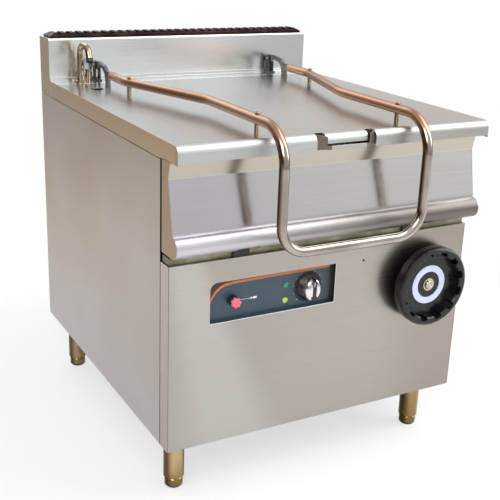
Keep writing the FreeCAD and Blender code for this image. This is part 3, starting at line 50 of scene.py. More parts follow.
# Depths of the front panel's face and of the control plate's face in the recess
FACE_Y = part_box("front_panel")[0].y
PLATE_SHEET = 0.0015
PLATE_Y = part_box("control_plate")[1].y - PLATE_SHEET

# Middles of the thermostat and of the switch, across and above the floor
THERMOSTAT = (-0.045, 0.483)
SWITCH = (-0.241, 0.482)

# Left and right, low and high edges of the recess round the control plate
RECESS_X = (-0.3009, 0.0224)
RECESS_Z = (0.4381, 0.5320)

# Points along the orange line, from the recess's left edge up and to the right
LINE_PATH = (
    (-0.2998, 0.4700), (-0.2970, 0.4820), (-0.2915, 0.4940), (-0.2830, 0.5055), (-0.2720, 0.5150),
    (-0.2590, 0.5205), (-0.2400, 0.5228), (-0.1800, 0.5238), (-0.0800, 0.5248), (0.0120, 0.5258),
)

# Ticks round the dial: how many, and where they start and end from its middle
TICKS = 11
TICK_START = 0.0380
TICK_END = 0.0400
LONG_TICK_END = 0.0415

# Half width of the gap between the thermostat's lobes, and the lobes' half width and half height
LOBE_GAP = 0.0052
LOBE_WIDTH = 0.0222
LOBE_HEIGHT = 0.0282

# The switch cap's radius, its petals' height and their number
CAP_R = 0.0112
PETAL = 0.0014
PETALS = 7

# The joint between the front panel's folded edge and the side panel
SIDE_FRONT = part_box("left_side_panel")[0].y
SEAM_WIDTH = 0.0026
SEAM_SHADOW = (0.012, 0.009, 0.009)

# Half width of the front inside its folded edges, the depth of its face and the fold's tone
CORNER_LINE = 0.3984
FACE_DEPTH = 0.0006
CORNER_TONE = (0.2, 0.15, 0.13)

# Distances in front of the origin between which the lid's nose pales with a painted highlight
NOSE_START = 0.408
NOSE_END = 0.424

# The rear panel's screws: head radius, distance from the edges, rows, and how deep they are sunk
SCREW_R = 0.0038
SCREW_INSET = 0.030
SCREW_ROWS = 5
SCREW_SINK = 0.0002

# Height above which the pan's front leans out under the lid's nose and takes painted shade
EAVE_LOW = 0.771
EAVE_BLEND = 0.003

# Height of the dark rim under each foot
SOLE_HEIGHT = 0.006

# Heights, counted downwards, between which the pan front's rolled edge darkens with painted shade
ROLL_TOP = -0.668
ROLL_LOW = -0.65

# The tap spout's open end and the way that it points
TAP_END = Vector((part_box("tap_spout")[0].x + 0.0085, 0.294125, 0.914))
TAP_DROP = Vector((0, -0.016, -0.036))

# Heights between which the lid handle's tube turns from silver to copper brown
COPPER_LOW = 0.835
COPPER_TOP = 0.872


class Number:
    """A node's socket that arithmetic can be written with."""

    def __init__(self, finish, socket):
        self.finish = finish
        self.socket = socket

    def maths(self, operation, first, second=None):
        inputs = {0: first}
        if second is not None:
            inputs[1] = second
        node = self.finish.node("ShaderNodeMath", {"operation": operation}, inputs)
        return Number(self.finish, node.outputs[0])

    def __add__(self, other):
        return self.maths("ADD", self, other)

    def __radd__(self, other):
        return self.maths("ADD", other, self)

    def __sub__(self, other):
        return self.maths("SUBTRACT", self, other)

    def __rsub__(self, other):
        return self.maths("SUBTRACT", other, self)

    def __mul__(self, other):
        return self.maths("MULTIPLY", self, other)

    def __rmul__(self, other):
        return self.maths("MULTIPLY", other, self)

    def __truediv__(self, other):
        return self.maths("DIVIDE", self, other)

    def __pow__(self, other):
        return self.maths("POWER", self, other)

    def below(self, limit):
        return self.maths("LESS_THAN", self, limit)

    def larger(self, other):
        return self.maths("MAXIMUM", self, other)

    def size(self):
        return self.maths("ABSOLUTE", self)

    def ramp(self, low, high):
        """0 at low and 1 at high, smooth between."""
        node = self.finish.node(
            "ShaderNodeMapRange",
            {"interpolation_type": "SMOOTHSTEP"},
            {"Value": self, "From Min": low, "From Max": high},
        )
        return Number(self.finish, node.outputs[0])


class Finish:
    """A procedural material round one Principled shader, or a light's or world's tree."""

    def __init__(self, name, constants=None, tree=None):
        if tree is None:
            self.material = bpy.data.materials.new(name)
            self.material.use_nodes = True
            tree = self.material.node_tree
        self.tree = tree
        self.tree.nodes.clear()
        if constants is not None:
            self.shader = self.node("ShaderNodeBsdfPrincipled", {}, constants)
            output = self.node("ShaderNodeOutputMaterial")
            self.tree.links.new(self.shader.outputs[0], output.inputs[0])
        self.spot = None

    def node(self, kind, settings=None, inputs=None):
        made = self.tree.nodes.new(kind)
        for key, value in (settings or {}).items():
            setattr(made, key, value)
        for key, value in (inputs or {}).items():
            self.feed(made.inputs[key], value)
        return made

    def feed(self, socket, value):
        if isinstance(value, Number):
            value = value.socket
        if isinstance(value, bpy.types.NodeSocket):
            self.tree.links.new(value, socket)
        elif socket.type == "RGBA" and len(value) == 3:
            socket.default_value = (*value, 1.0)
        else:
            socket.default_value = value

    def place(self):
        """Object coordinates: the same metres as the frame's, moving with the piece."""
        if self.spot is None:
            self.spot = self.node("ShaderNodeTexCoord").outputs["Object"]
        return self.spot

    def axes(self):
        split = self.node("ShaderNodeSeparateXYZ", {}, {0: self.place()})
        return [Number(self, out) for out in split.outputs]

    def sideways(self, low=0.6, high=0.85):
        """1 on the faces that look left or right, 0 on the others."""
        normal = self.node("ShaderNodeTexCoord").outputs["Normal"]
        split = self.node("ShaderNodeSeparateXYZ", {}, {0: normal})
        return Number(self, split.outputs[0]).size().ramp(low, high)

    def noise(self, scale, stretch=(1, 1, 1), detail=2.0, shift=(0, 0, 0)):
        """Noise from 0 to 1, at features per metre along each axis."""
        where = self.node(
            "ShaderNodeMapping",
            {},
            {"Vector": self.place(), "Location": shift, "Scale": stretch},
        )
        inputs = {"Vector": where.outputs[0], "Scale": scale, "Detail": detail}
        return Number(self, self.node("ShaderNodeTexNoise", {}, inputs).outputs[0])

    def cells(self, scale):
        """Distance from the middle of the nearest cell, with cells per metre."""
        inputs = {"Vector": self.place(), "Scale": scale}
        return Number(self, self.node("ShaderNodeTexVoronoi", {}, inputs).outputs[0])

    def mix(self, factor, first, second, blend="MIX"):
        settings = {"data_type": "RGBA", "blend_type": blend, "clamp_factor": True}
        made = self.node("ShaderNodeMix", settings, {0: factor, 6: first, 7: second})
        return made.outputs[2]

    def rounded(self, radius):
        """Normals that run round each edge, as a folded or moulded edge does."""
        return self.node("ShaderNodeBevel", {"samples": 4}, {"Radius": radius}).outputs[0]

    def relief(self, height, distance, strength=0.4, normal=None):
        inputs = {"Height": height, "Distance": distance, "Strength": strength}
        if normal is not None:
            inputs["Normal"] = normal
        return self.node("ShaderNodeBump", {}, inputs).outputs[0]

    def set(self, **values):
        for key, value in values.items():
            self.feed(self.shader.inputs[key.replace("_", " ")], value)
        return self.material


def brushed_sheet(
    name, light, dark, grain, tone=None, rough=0.3, edge=0.0009, flank=None, zones=(), soft=None
):
    """Brushed stainless: fine lines along one axis, soft clouds and faint handling marks.

    A tone, where given, spreads the light and dark colours as painted reflection and shade; a flank colour
    paints light and shade on the narrow faces that look left or right, each zone gives its own colour to a
    part of the sheet, most as a painted highlight or shade, and the soft zone reflects less sharply.
    """
    finish = Finish(name, {"Metallic": 1.0})
    across = [260.0, 260.0, 260.0]
    across[grain] = 2.5
    fine = finish.noise(1.0, across, 3.0)
    broad = [46.0, 46.0, 46.0]
    broad[grain] = 0.8
    wide = finish.noise(1.0, broad, 2.0, (3, 1, 7))
    cloud = finish.noise(2.6, (1, 1, 1), 1.5, (5, 2, 9))
    marks = finish.noise(9.0, (1, 1, 1), 3.0, (11, 4, 2)).ramp(0.45, 0.8)
    factor = cloud.ramp(0.3, 0.7)
    if tone is not None:
        factor = tone(finish, factor)
    colour = finish.mix(factor, light, dark)
    for zone, tint in zones:
        colour = finish.mix(zone(finish), colour, tint)
    if flank is not None:
        colour = finish.mix(finish.sideways(), colour, flank)
    lines = finish.mix(0.6 * fine + 0.4 * wide, (0.95, 0.95, 0.95), (1.05, 1.05, 1.05))
    colour = finish.mix(1.0, colour, lines, "MULTIPLY")
    roughness = rough + 0.10 * fine + 0.03 * marks
    if soft is not None:
        roughness = roughness + 0.24 * soft(finish)
    normal = finish.relief(fine + 0.4 * wide, 0.00005, 0.22, finish.rounded(edge))
    return finish.set(Base_Color=colour, Roughness=roughness, Normal=normal)


def polished_tube(name, light, dark, high=None, edge=None, zones=(), bend=0.0007):
    """Polished tube with faint streaks and clouds.

    A high colour tints the runs over the lid, an edge colour paints shade on the faces that look sideways,
    and a bend rounds the sharp edges.
    """
    finish = Finish(name, {"Metallic": 1.0})
    cloud = finish.noise(7.0, (1, 1, 1), 2.0)
    lines = finish.noise(60.0, (1, 1, 1), 4.0, (2, 8, 3))
    colour = finish.mix(cloud.ramp(0.35, 0.68), light, dark)
    roughness = 0.07 + 0.1 * lines
    if edge is not None:
        colour = finish.mix(finish.sideways(0.45, 0.98), colour, edge)
    if high is not None:
        x, y, z = finish.axes()
        copper = z.ramp(COPPER_LOW, COPPER_TOP)
        colour = finish.mix(copper, colour, high)
        roughness = roughness + 0.2 * copper
    for zone, tint in zones:
        colour = finish.mix(zone(finish), colour, tint)
    soft_edges = finish.rounded(bend) if bend else None
    normal = finish.relief(lines, 0.00003, 0.1, soft_edges)
    return finish.set(Base_Color=colour, Roughness=roughness, Normal=normal)


def cast_metal(name, light, dark, rough=0.55, metallic=1.0, grain=420.0):
    """Cast or forged metal: a pitted skin with paler worn high spots."""
    finish = Finish(name, {"Metallic": metallic})
    pits = finish.noise(grain, (1, 1, 1), 3.0)
    cloud = finish.noise(22.0, (1, 1, 1), 3.0, (4, 4, 1))
    colour = finish.mix(cloud.ramp(0.35, 0.7), dark, light)
    roughness = rough + 0.2 * pits - 0.08 * cloud
    normal = finish.relief(pits + 0.5 * cloud, 0.0004, 0.45, finish.rounded(0.0008))
    return finish.set(Base_Color=colour, Roughness=roughness, Normal=normal)


def moulded(name, colour, pale, rough=0.28, grain=900.0):
    """Moulded plastic: a fine spark-eroded grain, faint flow clouds and a light scuff."""
    finish = Finish(name, {"Coat Roughness": 0.2, "Specular IOR Level": 0.35})
    fine = finish.noise(grain, (1, 1, 1), 2.0)
    cloud = finish.noise(30.0, (1, 1, 1), 3.0, (6, 1, 1))
    tint = finish.mix(cloud.ramp(0.45, 0.8), colour, pale)
    roughness = rough + 0.16 * fine + 0.08 * cloud
    normal = finish.relief(fine, 0.00012, 0.3, finish.rounded(0.0006))
    return finish.set(Base_Color=tint, Roughness=roughness, Coat_Weight=0.12, Normal=normal)


def lamp_lens(name, colour, pale):
    """Ribbed lens with a paler middle."""
    finish = Finish(name, {"Coat Roughness": 0.05, "Coat Weight": 1.0})
    ribs = finish.cells(600.0)
    tint = finish.mix(ribs.ramp(0.1, 0.7), pale, colour)
    normal = finish.relief(ribs, 0.0003, 0.5)
    return finish.set(Base_Color=tint, Roughness=0.12 + 0.1 * ribs, Normal=normal)


def enamel(name, colour, shade, rough=0.35):
    """Printed or enamelled line."""
    finish = Finish(name, {})
    grain = finish.noise(300.0, (1, 1, 1), 2.0)
    tint = finish.mix(grain.ramp(0.3, 0.75), colour, shade)
    return finish.set(Base_Color=tint, Roughness=rough + 0.15 * grain)


def panel_plate(name, slate, dark):
    """Slate plate: satin foil that darkens towards its right end."""
    finish = Finish(name, {"Coat Roughness": 0.15})
    x, y, z = finish.axes()
    right = x.ramp(-0.02, 0.03)
    cloud = finish.noise(14.0, (1, 1, 1), 2.0)
    fine = finish.noise(700.0, (1, 1, 1), 2.0)
    factor = right.larger(0.35 * cloud)
    tint = finish.mix(factor, slate, dark)
    normal = finish.relief(fine, 0.00008, 0.25, finish.rounded(0.0005))
    return finish.set(Base_Color=tint, Roughness=0.38 + 0.15 * fine, Coat_Weight=0.3, Normal=normal)


def side_painted_light(finish, factor):
    """Painted reflection and shade: warm and darker towards the top and the rear, cooler and paler towards
    the foot.
    """
    x, y, z = finish.axes()
    return 0.35 * factor + 0.65 * (z + 0.25 * y).ramp(0.2, 0.8)


def front_painted_light(finish, factor):
    """Painted reflection: a paler cone down the left part of the front; painted shade makes it darkest and
    warmest at the right end.
    """
    x, y, z = finish.axes()
    fall = 0.58 - z
    cone = ((x + 0.36 - 0.28 * fall).size() / (0.04 + 0.16 * fall)).ramp(1.5, 0.4)
    return 0.15 * factor + (0.5 + 0.4 * x.ramp(0.08, 0.34)) * (1 - cone)


def band_painted_reflection(finish, factor):
    """Plain at the right end, with a mauve cloud of painted reflection towards the left end."""
    x, y, z = finish.axes()
    return 0.25 * factor + 0.7 * (0.25 - x).ramp(-0.2, 0.7)


def cheek_painted_shade(finish, factor):
    """Painted shade: the spout's slanted cheeks take the dark colour, the rest is mixed."""
    return (0.6 * factor).larger(finish.sideways(0.25, 0.4))


def lid_painted_light(finish, factor):
    """Painted reflection and shade: pale across the rear, warmer and darker towards the right front corner.
    """
    x, y, z = finish.axes()
    return 0.25 * factor + 0.75 * (0.8 * x - y).ramp(-0.3, 0.5)


def upstand_painted_light(finish, factor):
    """Painted reflection and shade: bluish white, greyer towards the right end."""
    x, y, z = finish.axes()
    return 0.2 * factor + 0.8 * x.ramp(0.05, 0.38)


def nose_highlight_zone(finish):
    """The lid's rounded front edge, where a painted highlight pales the colour, less towards the right end.
    """
    x, y, z = finish.axes()
    return (0 - y).ramp(NOSE_START, NOSE_END) * (1 - 0.5 * x.ramp(-0.15, 0.35))


def eave_shade_zone(finish):
    """The band of the pan's front just under the lid's nose, darkened as painted shade."""
    x, y, z = finish.axes()
    return z.ramp(EAVE_LOW, EAVE_LOW + EAVE_BLEND)


def roll_face(finish):
    """The rolled lower edge of the pan's front, along its whole length."""
    x, y, z = finish.axes()
    return (0 - z).ramp(ROLL_TOP, ROLL_LOW)


def roll_shade_zone(finish):
    """The rolled lower edge again, with painted shade growing towards the right end."""
    x, y, z = finish.axes()
    return roll_face(finish) * x.ramp(-0.38, 0.25)


def corner_line(finish):
    """The dark line of the fold at each upright edge of the front."""
    x, y, z = finish.axes()
    return (CORNER_LINE - x.size()).below(0) * (y - FACE_Y).below(FACE_DEPTH)


def seam_behind(finish):
    """The shadow of the joint on the side panel's front edge."""
    x, y, z = finish.axes()
    return (y - SIDE_FRONT).below(SEAM_WIDTH)


def sole_zone(finish):
    """The dark rim that a foot stands on."""
    x, y, z = finish.axes()
    return z.below(SOLE_HEIGHT)


def shown(node, material):
    """Gives a node of the frame its finish, with smooth shading below a crease angle."""
    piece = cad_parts[node]
    piece.data.materials.clear()
    piece.data.materials.append(material)
    for face in piece.data.polygons:
        face.material_index = 0
    smooth_below(piece.data, 32.0)


def smooth_below(mesh, degrees):
    """Smooth faces, with the edges sharper than an angle left hard."""
    work = bmesh.new()
    work.from_mesh(mesh)
    limit = math.radians(degrees)
    for face in work.faces:
        face.smooth = True
    for edge in work.edges:
        if len(edge.link_faces) == 2:
            edge.smooth = edge.calc_face_angle(0.0) < limit
    work.to_mesh(mesh)
    work.free()


def piece_from(name, body, material, build, smooth=32.0):
    """Makes a mesh piece with a build function, and rides it on a body."""
    work = bmesh.new()
    build(work)
    bmesh.ops.recalc_face_normals(work, faces=work.faces)
    mesh = bpy.data.meshes.new(name)
    work.to_mesh(mesh)
    work.free()
    smooth_below(mesh, smooth)
    piece = bpy.data.objects.new(name, mesh)
    bpy.context.scene.collection.objects.link(piece)
    mesh.materials.append(material)
    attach(piece, body)
    return piece


def lathe(work, profile, centre, axis="Y", steps=48):
    """Turns (radius, height) points round the Y or Z axis through a centre; ends on the axis close."""
    rings = []
    for radius, height in profile:
        ring = []
        for step in range(steps if radius > 1e-7 else 1):
            angle = 2 * math.pi * step / steps
            a = radius * math.cos(angle)
            b = radius * math.sin(angle)
            offset = Vector((a, height, b)) if axis == "Y" else Vector((a, b, height))
            ring.append(work.verts.new(Vector(centre) + offset))
        rings.append(ring)
    for first, second in zip(rings, rings[1:]):
        for step in range(steps):
            after = (step + 1) % steps
            if len(first) == 1 and len(second) == 1:
                continue
            if len(first) == 1:
                work.faces.new((first[0], second[step], second[after]))
            elif len(second) == 1:
                work.faces.new((first[step], second[0], first[after]))
            else:
                work.faces.new((first[step], second[step], second[after], first[after]))


def ribbon(work, points, widths, front, back):
    """A flat strip in the X-Z plane along points, between two depths in Y."""
    left = []
    right = []
    for index, (x, z) in enumerate(points):
        before = points[max(index - 1, 0)]
        after = points[min(index + 1, len(points) - 1)]
        run = Vector((after[0] - before[0], after[1] - before[1])).normalized()
        half = widths[index] / 2
        left.append((x - run.y * half, z + run.x * half))
        right.append((x + run.y * half, z - run.x * half))
    outline = left + right[::-1]
    slab(work, outline, front, back)


def slab(work, outline, front, back):
    """A plate in the X-Z plane between two depths in Y."""
    near = [work.verts.new((x, front, z)) for x, z in outline]
    far = [work.verts.new((x, back, z)) for x, z in outline]
    work.faces.new(near)
    work.faces.new(far[::-1])
    for index in range(len(outline)):
        after = (index + 1) % len(outline)
        work.faces.new((near[index], far[index], far[after], near[after]))


def cross_screw(work, centre, radius):
    """A domed screw head with a cross recess, which looks to the rear."""
    steps = 24
    flat = 0.52
    rise = 0.55
    rings = ((1.0, 0.0), (0.97, 0.22), (0.8, 0.42), (flat, rise))
    lathe(work, [(radius * share, radius * height) for share, height in rings], centre, "Y", steps)
    arm = radius * 0.16
    reach = radius * 0.5
    top = radius * rise
    deep = radius * 0.2
    cross = [(arm, reach), (-arm, reach), (-arm, arm), (-reach, arm), (-reach, -arm), (-arm, -arm),
             (-arm, -reach), (arm, -reach), (arm, -arm), (reach, -arm), (reach, arm), (arm, arm)]
    rim = []
    for step in range(steps):
        angle = 2 * math.pi * step / steps
        rim.append((radius * flat * math.cos(angle), radius * flat * math.sin(angle)))

    def spot(a, b, height):
        return (centre[0] + a, centre[1] + height, centre[2] + b)

    upper = [work.verts.new(spot(a, b, top)) for a, b in cross]
    lower = [work.verts.new(spot(a * 0.7, b * 0.7, deep)) for a, b in cross]
    outer = [work.verts.new(spot(a, b, top)) for a, b in rim]
    for index in range(len(cross)):
        after = (index + 1) % len(cross)
        work.faces.new((upper[index], upper[after], lower[after], lower[index]))
    work.faces.new(lower)
    edges = []
    for loop in (upper, outer):
        for index in range(len(loop)):
            pair = (loop[index], loop[(index + 1) % len(loop)])
            edges.append(work.edges.get(pair) or work.edges.new(pair))
    bmesh.ops.triangle_fill(work, edges=edges, use_beauty=True)
    bmesh.ops.remove_doubles(work, verts=work.verts, dist=1e-6)


def colour(text, value):
    """A colour setting with its label."""
    return bpy.props.FloatVectorProperty(
        name=text, description=text + " of the bratt pan", subtype="COLOR", size=3, default=value,
        min=0, max=1
    )


# Colours of the stainless sheets. Each light and dark pair is spread by a tone as painted reflection and
# shade; the flank and fold colours are painted light and shade on faces that look sideways, the nose colour
# is a painted highlight, and the colours under the nose and on the rolled edge are painted shade.
class SheetSettings(bpy.types.PropertyGroup):
    side_light: colour("Side panel light", (0.52, 0.49, 0.49))
    side_dark: colour("Side panel dark", (0.40, 0.32, 0.235))
    flank: colour("Narrow side faces", (0.42, 0.29, 0.165))
    front_light: colour("Front panel light", (0.465, 0.45, 0.42))
    front_dark: colour("Front panel dark", (0.32, 0.285, 0.25))
    fold: colour("Front panel's folded edge", (0.475, 0.405, 0.365))
    lid_light: colour("Lid light", (0.57, 0.575, 0.585))
    lid_dark: colour("Lid dark", (0.40, 0.34, 0.285))
    nose: colour("Lid nose", (0.49, 0.51, 0.505))
    eave_shade: colour("Pan front under the nose", (0.44, 0.40, 0.34))
    roll: colour("Rolled edge of the pan's front", (0.17, 0.15, 0.14))


class TrimSettings(bpy.types.PropertyGroup):
    orange: colour("Control line", (0.62, 0.19, 0.035))
    slate: colour("Control plate", (0.022, 0.053, 0.080))
    mark_depth: bpy.props.FloatProperty(
        name="Mark thickness", description="How far the printed marks stand proud",
        default=0.00025, unit="LENGTH"
    )
    line_width: bpy.props.FloatProperty(
        name="Line width", description="Width of the orange line", default=0.0062, unit="LENGTH"
    )


class StageSettings(bpy.types.PropertyGroup):
    focal: bpy.props.FloatProperty(name="Focal length", description="Lens in millimetres", default=66.285)
    lamp_power: bpy.props.FloatProperty(
        name="Lamp power", description="Power of the main soft lamp", default=95.0, unit="POWER"
    )
    room: bpy.props.FloatProperty(name="Room light", description="Strength of the even light", default=0.62)


class Dress:
    """What the operators share."""
    bl_options = {"REGISTER", "UNDO"}

    def execute(self, context):
        self.dress(context)
        return {"FINISHED"}


class DressCabinet(Dress, bpy.types.Operator):
    """Finishes the cabinet's sheets, frame, legs and feet"""
    bl_idname = "brattpan.cabinet"
    bl_label = "Cabinet"

    def dress(self, context):
        sheet = context.scene.brattpan_sheet
        seam = [(seam_behind, SEAM_SHADOW)]
        # The side panels' tone is painted reflection and shade; the seam zone is a painted shadow.
        side = brushed_sheet("side_sheet", sheet.side_light, sheet.side_dark, 1, side_painted_light, zones=seam)
        for node in ("left_side_panel", "right_side_panel"):
            shown(node, side)
        # The front's tone paints a cone of reflection and a shaded right end; the fold colour is painted
        # light on the faces that look sideways.
        front = brushed_sheet(
            "front_sheet", sheet.front_light, sheet.front_dark, 0, front_painted_light, 0.24, flank=sheet.fold,
            zones=[(corner_line, CORNER_TONE)]
        )
        shown("front_panel", front)
        back = brushed_sheet("rear_sheet", (0.5, 0.49, 0.47), (0.4, 0.39, 0.37), 2)
        for node in ("rear_panel", "base_tray"):
            shown(node, back)
        # The upstand's bluish white is a painted reflection, its tone greys it towards the right as painted
        # shade, and the flank colour paints shade on its side faces.
        light, dark = (0.94, 1.0, 1.0), (0.54, 0.54, 0.52)
        upstand = brushed_sheet("upstand_sheet", light, dark, 0, upstand_painted_light, 0.17, flank=sheet.flank)
        shown("splashback", upstand)
        iron = cast_metal("grille_iron", (0.045, 0.022, 0.018), (0.016, 0.01, 0.009), 0.45)
        shown("flue_grille", iron)
        # Legs and feet: the edge colour darkens the faces that look sideways as painted shade.
        light, dark, edge = (0.52, 0.385, 0.21), (0.28, 0.185, 0.075), (0.12, 0.075, 0.03)
        legs = polished_tube("leg_steel", light, dark, edge=edge)
        for node in ("front_legs", "rear_legs"):
            shown(node, legs)
        sole = [(sole_zone, (0.02, 0.016, 0.01))]
        light, dark, edge = (0.38, 0.28, 0.14), (0.22, 0.15, 0.06), (0.1, 0.06, 0.02)
        shown("screw_feet", polished_tube("foot_steel", light, dark, edge=edge, zones=sole))
        zinc = cast_metal("zinc_plate", (0.52, 0.52, 0.5), (0.4, 0.4, 0.38), 0.4)
        for node in ("corner_posts", "gearbox_stand", "shaft_bearing"):
            shown(node, zinc)
        # The crossmember is a darker copy of the zinc: painted shade in the gap under the pan's front.
        member = cast_metal("crossmember_zinc", (0.34, 0.31, 0.23), (0.2, 0.18, 0.12), 0.4)
        shown("front_crossmember", member)


class DressDrive(Dress, bpy.types.Operator):
    """Finishes the tilting drive: gearbox, gears, lugs and pins"""
    bl_idname = "brattpan.drive"
    bl_label = "Tilting drive"

    def dress(self, context):
        black = cast_metal("black_lug", (0.03, 0.03, 0.03), (0.012, 0.012, 0.012), 0.5, 0.0)
        for node in ("pivot_lug_left", "pivot_lug_right"):
            shown(node, black)
        zinc = cast_metal("bracket_plate", (0.5, 0.5, 0.48), (0.36, 0.36, 0.34), 0.42)
        for node in ("tilt_bracket_left", "tilt_bracket_right"):
            shown(node, zinc)
        gear = cast_metal("gear_steel", (0.42, 0.41, 0.4), (0.25, 0.24, 0.22), 0.32)
        for node in ("tilt_quadrant", "drive_pinion", "pinion_shaft", "worm_shaft", "tilt_pins"):
            shown(node, gear)
        shown("pivot_bushes", cast_metal("bronze_bush", (0.6, 0.4, 0.16), (0.42, 0.26, 0.09), 0.35))
        paint = cast_metal("gearbox_paint", (0.16, 0.19, 0.22), (0.1, 0.12, 0.15), 0.45, 0.0, 240.0)
        shown("gearbox_housing", paint)


class DressPan(Dress, bpy.types.Operator):
    """Finishes the pan, its spout and its heating"""
    bl_idname = "brattpan.pan"
    bl_label = "Pan"

    def dress(self, context):
        sheet = context.scene.brattpan_sheet
        # Painted shade under the lid's nose and on the rolled lower edge; the tone paints a mauve
        # reflection towards the left end.
        parts = [(eave_shade_zone, sheet.eave_shade), (roll_shade_zone, sheet.roll)]
        light, dark = (0.67, 0.66, 0.62), (0.54, 0.52, 0.57)
        band = brushed_sheet(
            "pan_front_sheet", light, dark, 0, band_painted_reflection, 0.12, zones=parts, soft=roll_face
        )
        shown("pan_front_skin", band)
        # The end plates' faces that look sideways take a brown flank colour as painted shade.
        light, dark, flank = (0.5, 0.46, 0.42), (0.4, 0.36, 0.32), (0.36, 0.25, 0.15)
        ends = brushed_sheet("pan_end_sheet", light, dark, 0, flank=flank)
        for node in ("pan_end_plate_left", "pan_end_plate_right"):
            shown(node, ends)
        tub = brushed_sheet("tub_sheet", (0.55, 0.54, 0.52), (0.45, 0.44, 0.42), 2, None, 0.3)
        shown("pan_tub", tub)
        # The strip is a much paler copy of the steel, a painted highlight along the lip between lid and
        # upstand; its side faces take the flank colour as painted shade.
        light, dark = (0.82, 0.84, 0.83), (0.7, 0.72, 0.71)
        strip = brushed_sheet("strip_sheet", light, dark, 0, None, 0.16, flank=sheet.flank)
        shown("pan_rear_strip", strip)
        # The spout's dark colour is painted shade on its slanted cheeks.
        spout = brushed_sheet("spout_sheet", (0.6, 0.59, 0.56), (0.2, 0.165, 0.13), 0, cheek_painted_shade, 0.12)
        shown("pouring_spout", spout)
        shown("heater_cover", brushed_sheet("cover_sheet", (0.45, 0.43, 0.4), (0.36, 0.33, 0.28), 0))
        shown("heating_elements", cast_metal("element_sheath", (0.2, 0.17, 0.15), (0.1, 0.09, 0.09), 0.5))
        shown("hinge_pins", polished_tube("pin_steel", (0.6, 0.6, 0.58), (0.45, 0.45, 0.43)))


class DressLid(Dress, bpy.types.Operator):
    """Finishes the lid, its handle and its hinges"""
    bl_idname = "brattpan.lid"
    bl_label = "Lid"

    def dress(self, context):
        sheet = context.scene.brattpan_sheet
        # The lid's tone is painted reflection and shade, the nose colour a painted highlight, and the flank
        # colour painted shade on the side skirts.
        skin = brushed_sheet(
            "lid_sheet", sheet.lid_light, sheet.lid_dark, 0, lid_painted_light, 0.17, 0.0014, sheet.flank,
            [(nose_highlight_zone, sheet.nose)], nose_highlight_zone
        )
        shown("lid_skin", skin)
        shown("lid_liner", brushed_sheet("liner_sheet", (0.52, 0.51, 0.5), (0.42, 0.41, 0.4), 1))
        copper = (0.325, 0.185, 0.12)
        # The edge colour darkens the tube's faces that look sideways as painted shade.
        light, dark, edge = (0.45, 0.40, 0.36), (0.29, 0.24, 0.20), (0.10, 0.06, 0.035)
        tube = polished_tube("handle_tube", light, dark, copper, edge, bend=0)
        for node in ("lid_handle", "standoff_screws"):
            shown(node, tube)
        shown("handle_standoffs", polished_tube("standoff_steel", (0.46, 0.41, 0.3), (0.3, 0.26, 0.17)))
        arm = cast_metal("arm_plate", (0.24, 0.245, 0.235), (0.11, 0.115, 0.11), 0.32)
        for node in ("hinge_arm_left", "hinge_arm_right"):
            shown(node, arm)
        post = cast_metal("post_paint", (0.015, 0.015, 0.015), (0.008, 0.008, 0.008), 0.4, 0.0)
        for node in ("hinge_post_left", "hinge_post_right"):
            shown(node, post)


class DressTap(Dress, bpy.types.Operator):
    """Finishes the water tap and the supplies under the base"""
    bl_idname = "brattpan.tap"
    bl_label = "Tap and supplies"

    def dress(self, context):
        # The chrome's brown tint is a painted reflection, and the edge colour darkens its faces that look
        # sideways as painted shade.
        light, dark, edge = (0.47, 0.37, 0.29), (0.27, 0.175, 0.115), (0.15, 0.09, 0.05)
        chrome = polished_tube("tap_chrome", light, dark, edge=edge)
        for node in ("tap_body", "tap_lever", "tap_spout"):
            shown(node, chrome)
        self.aerator()
        shown("water_inlet", cast_metal("inlet_brass", (0.66, 0.5, 0.2), (0.5, 0.36, 0.12), 0.3))
        grey = moulded("grey_plastic", (0.12, 0.12, 0.125), (0.17, 0.17, 0.175), 0.4)
        for node in ("terminal_box", "cable_gland", "thermostat_body", "switch_body"):
            shown(node, grey)

    def aerator(self):
        """The black ring round the spout's open end."""
        def ring(work):
            profile = [(0.0064, -0.0012), (0.0090, -0.0012), (0.0097, -0.0004), (0.0097, 0.0085),
                       (0.0087, 0.0090), (0.0087, 0.0001), (0.0064, 0.0001), (0.0064, -0.0012)]
            lathe(work, profile, (0, 0, 0), "Z")
            tilt = Matrix.Rotation(-math.atan2(-TAP_DROP.y, -TAP_DROP.z), 3, "X")
            bmesh.ops.rotate(work, verts=work.verts, matrix=tilt)
            bmesh.ops.translate(work, verts=work.verts, vec=TAP_END)
            bmesh.ops.remove_doubles(work, verts=work.verts, dist=1e-6)

        black = moulded("aerator_black", (0.01, 0.01, 0.01), (0.02, 0.02, 0.02), 0.3)
        piece_from("tap_aerator", "tap_spout_body", black, ring)


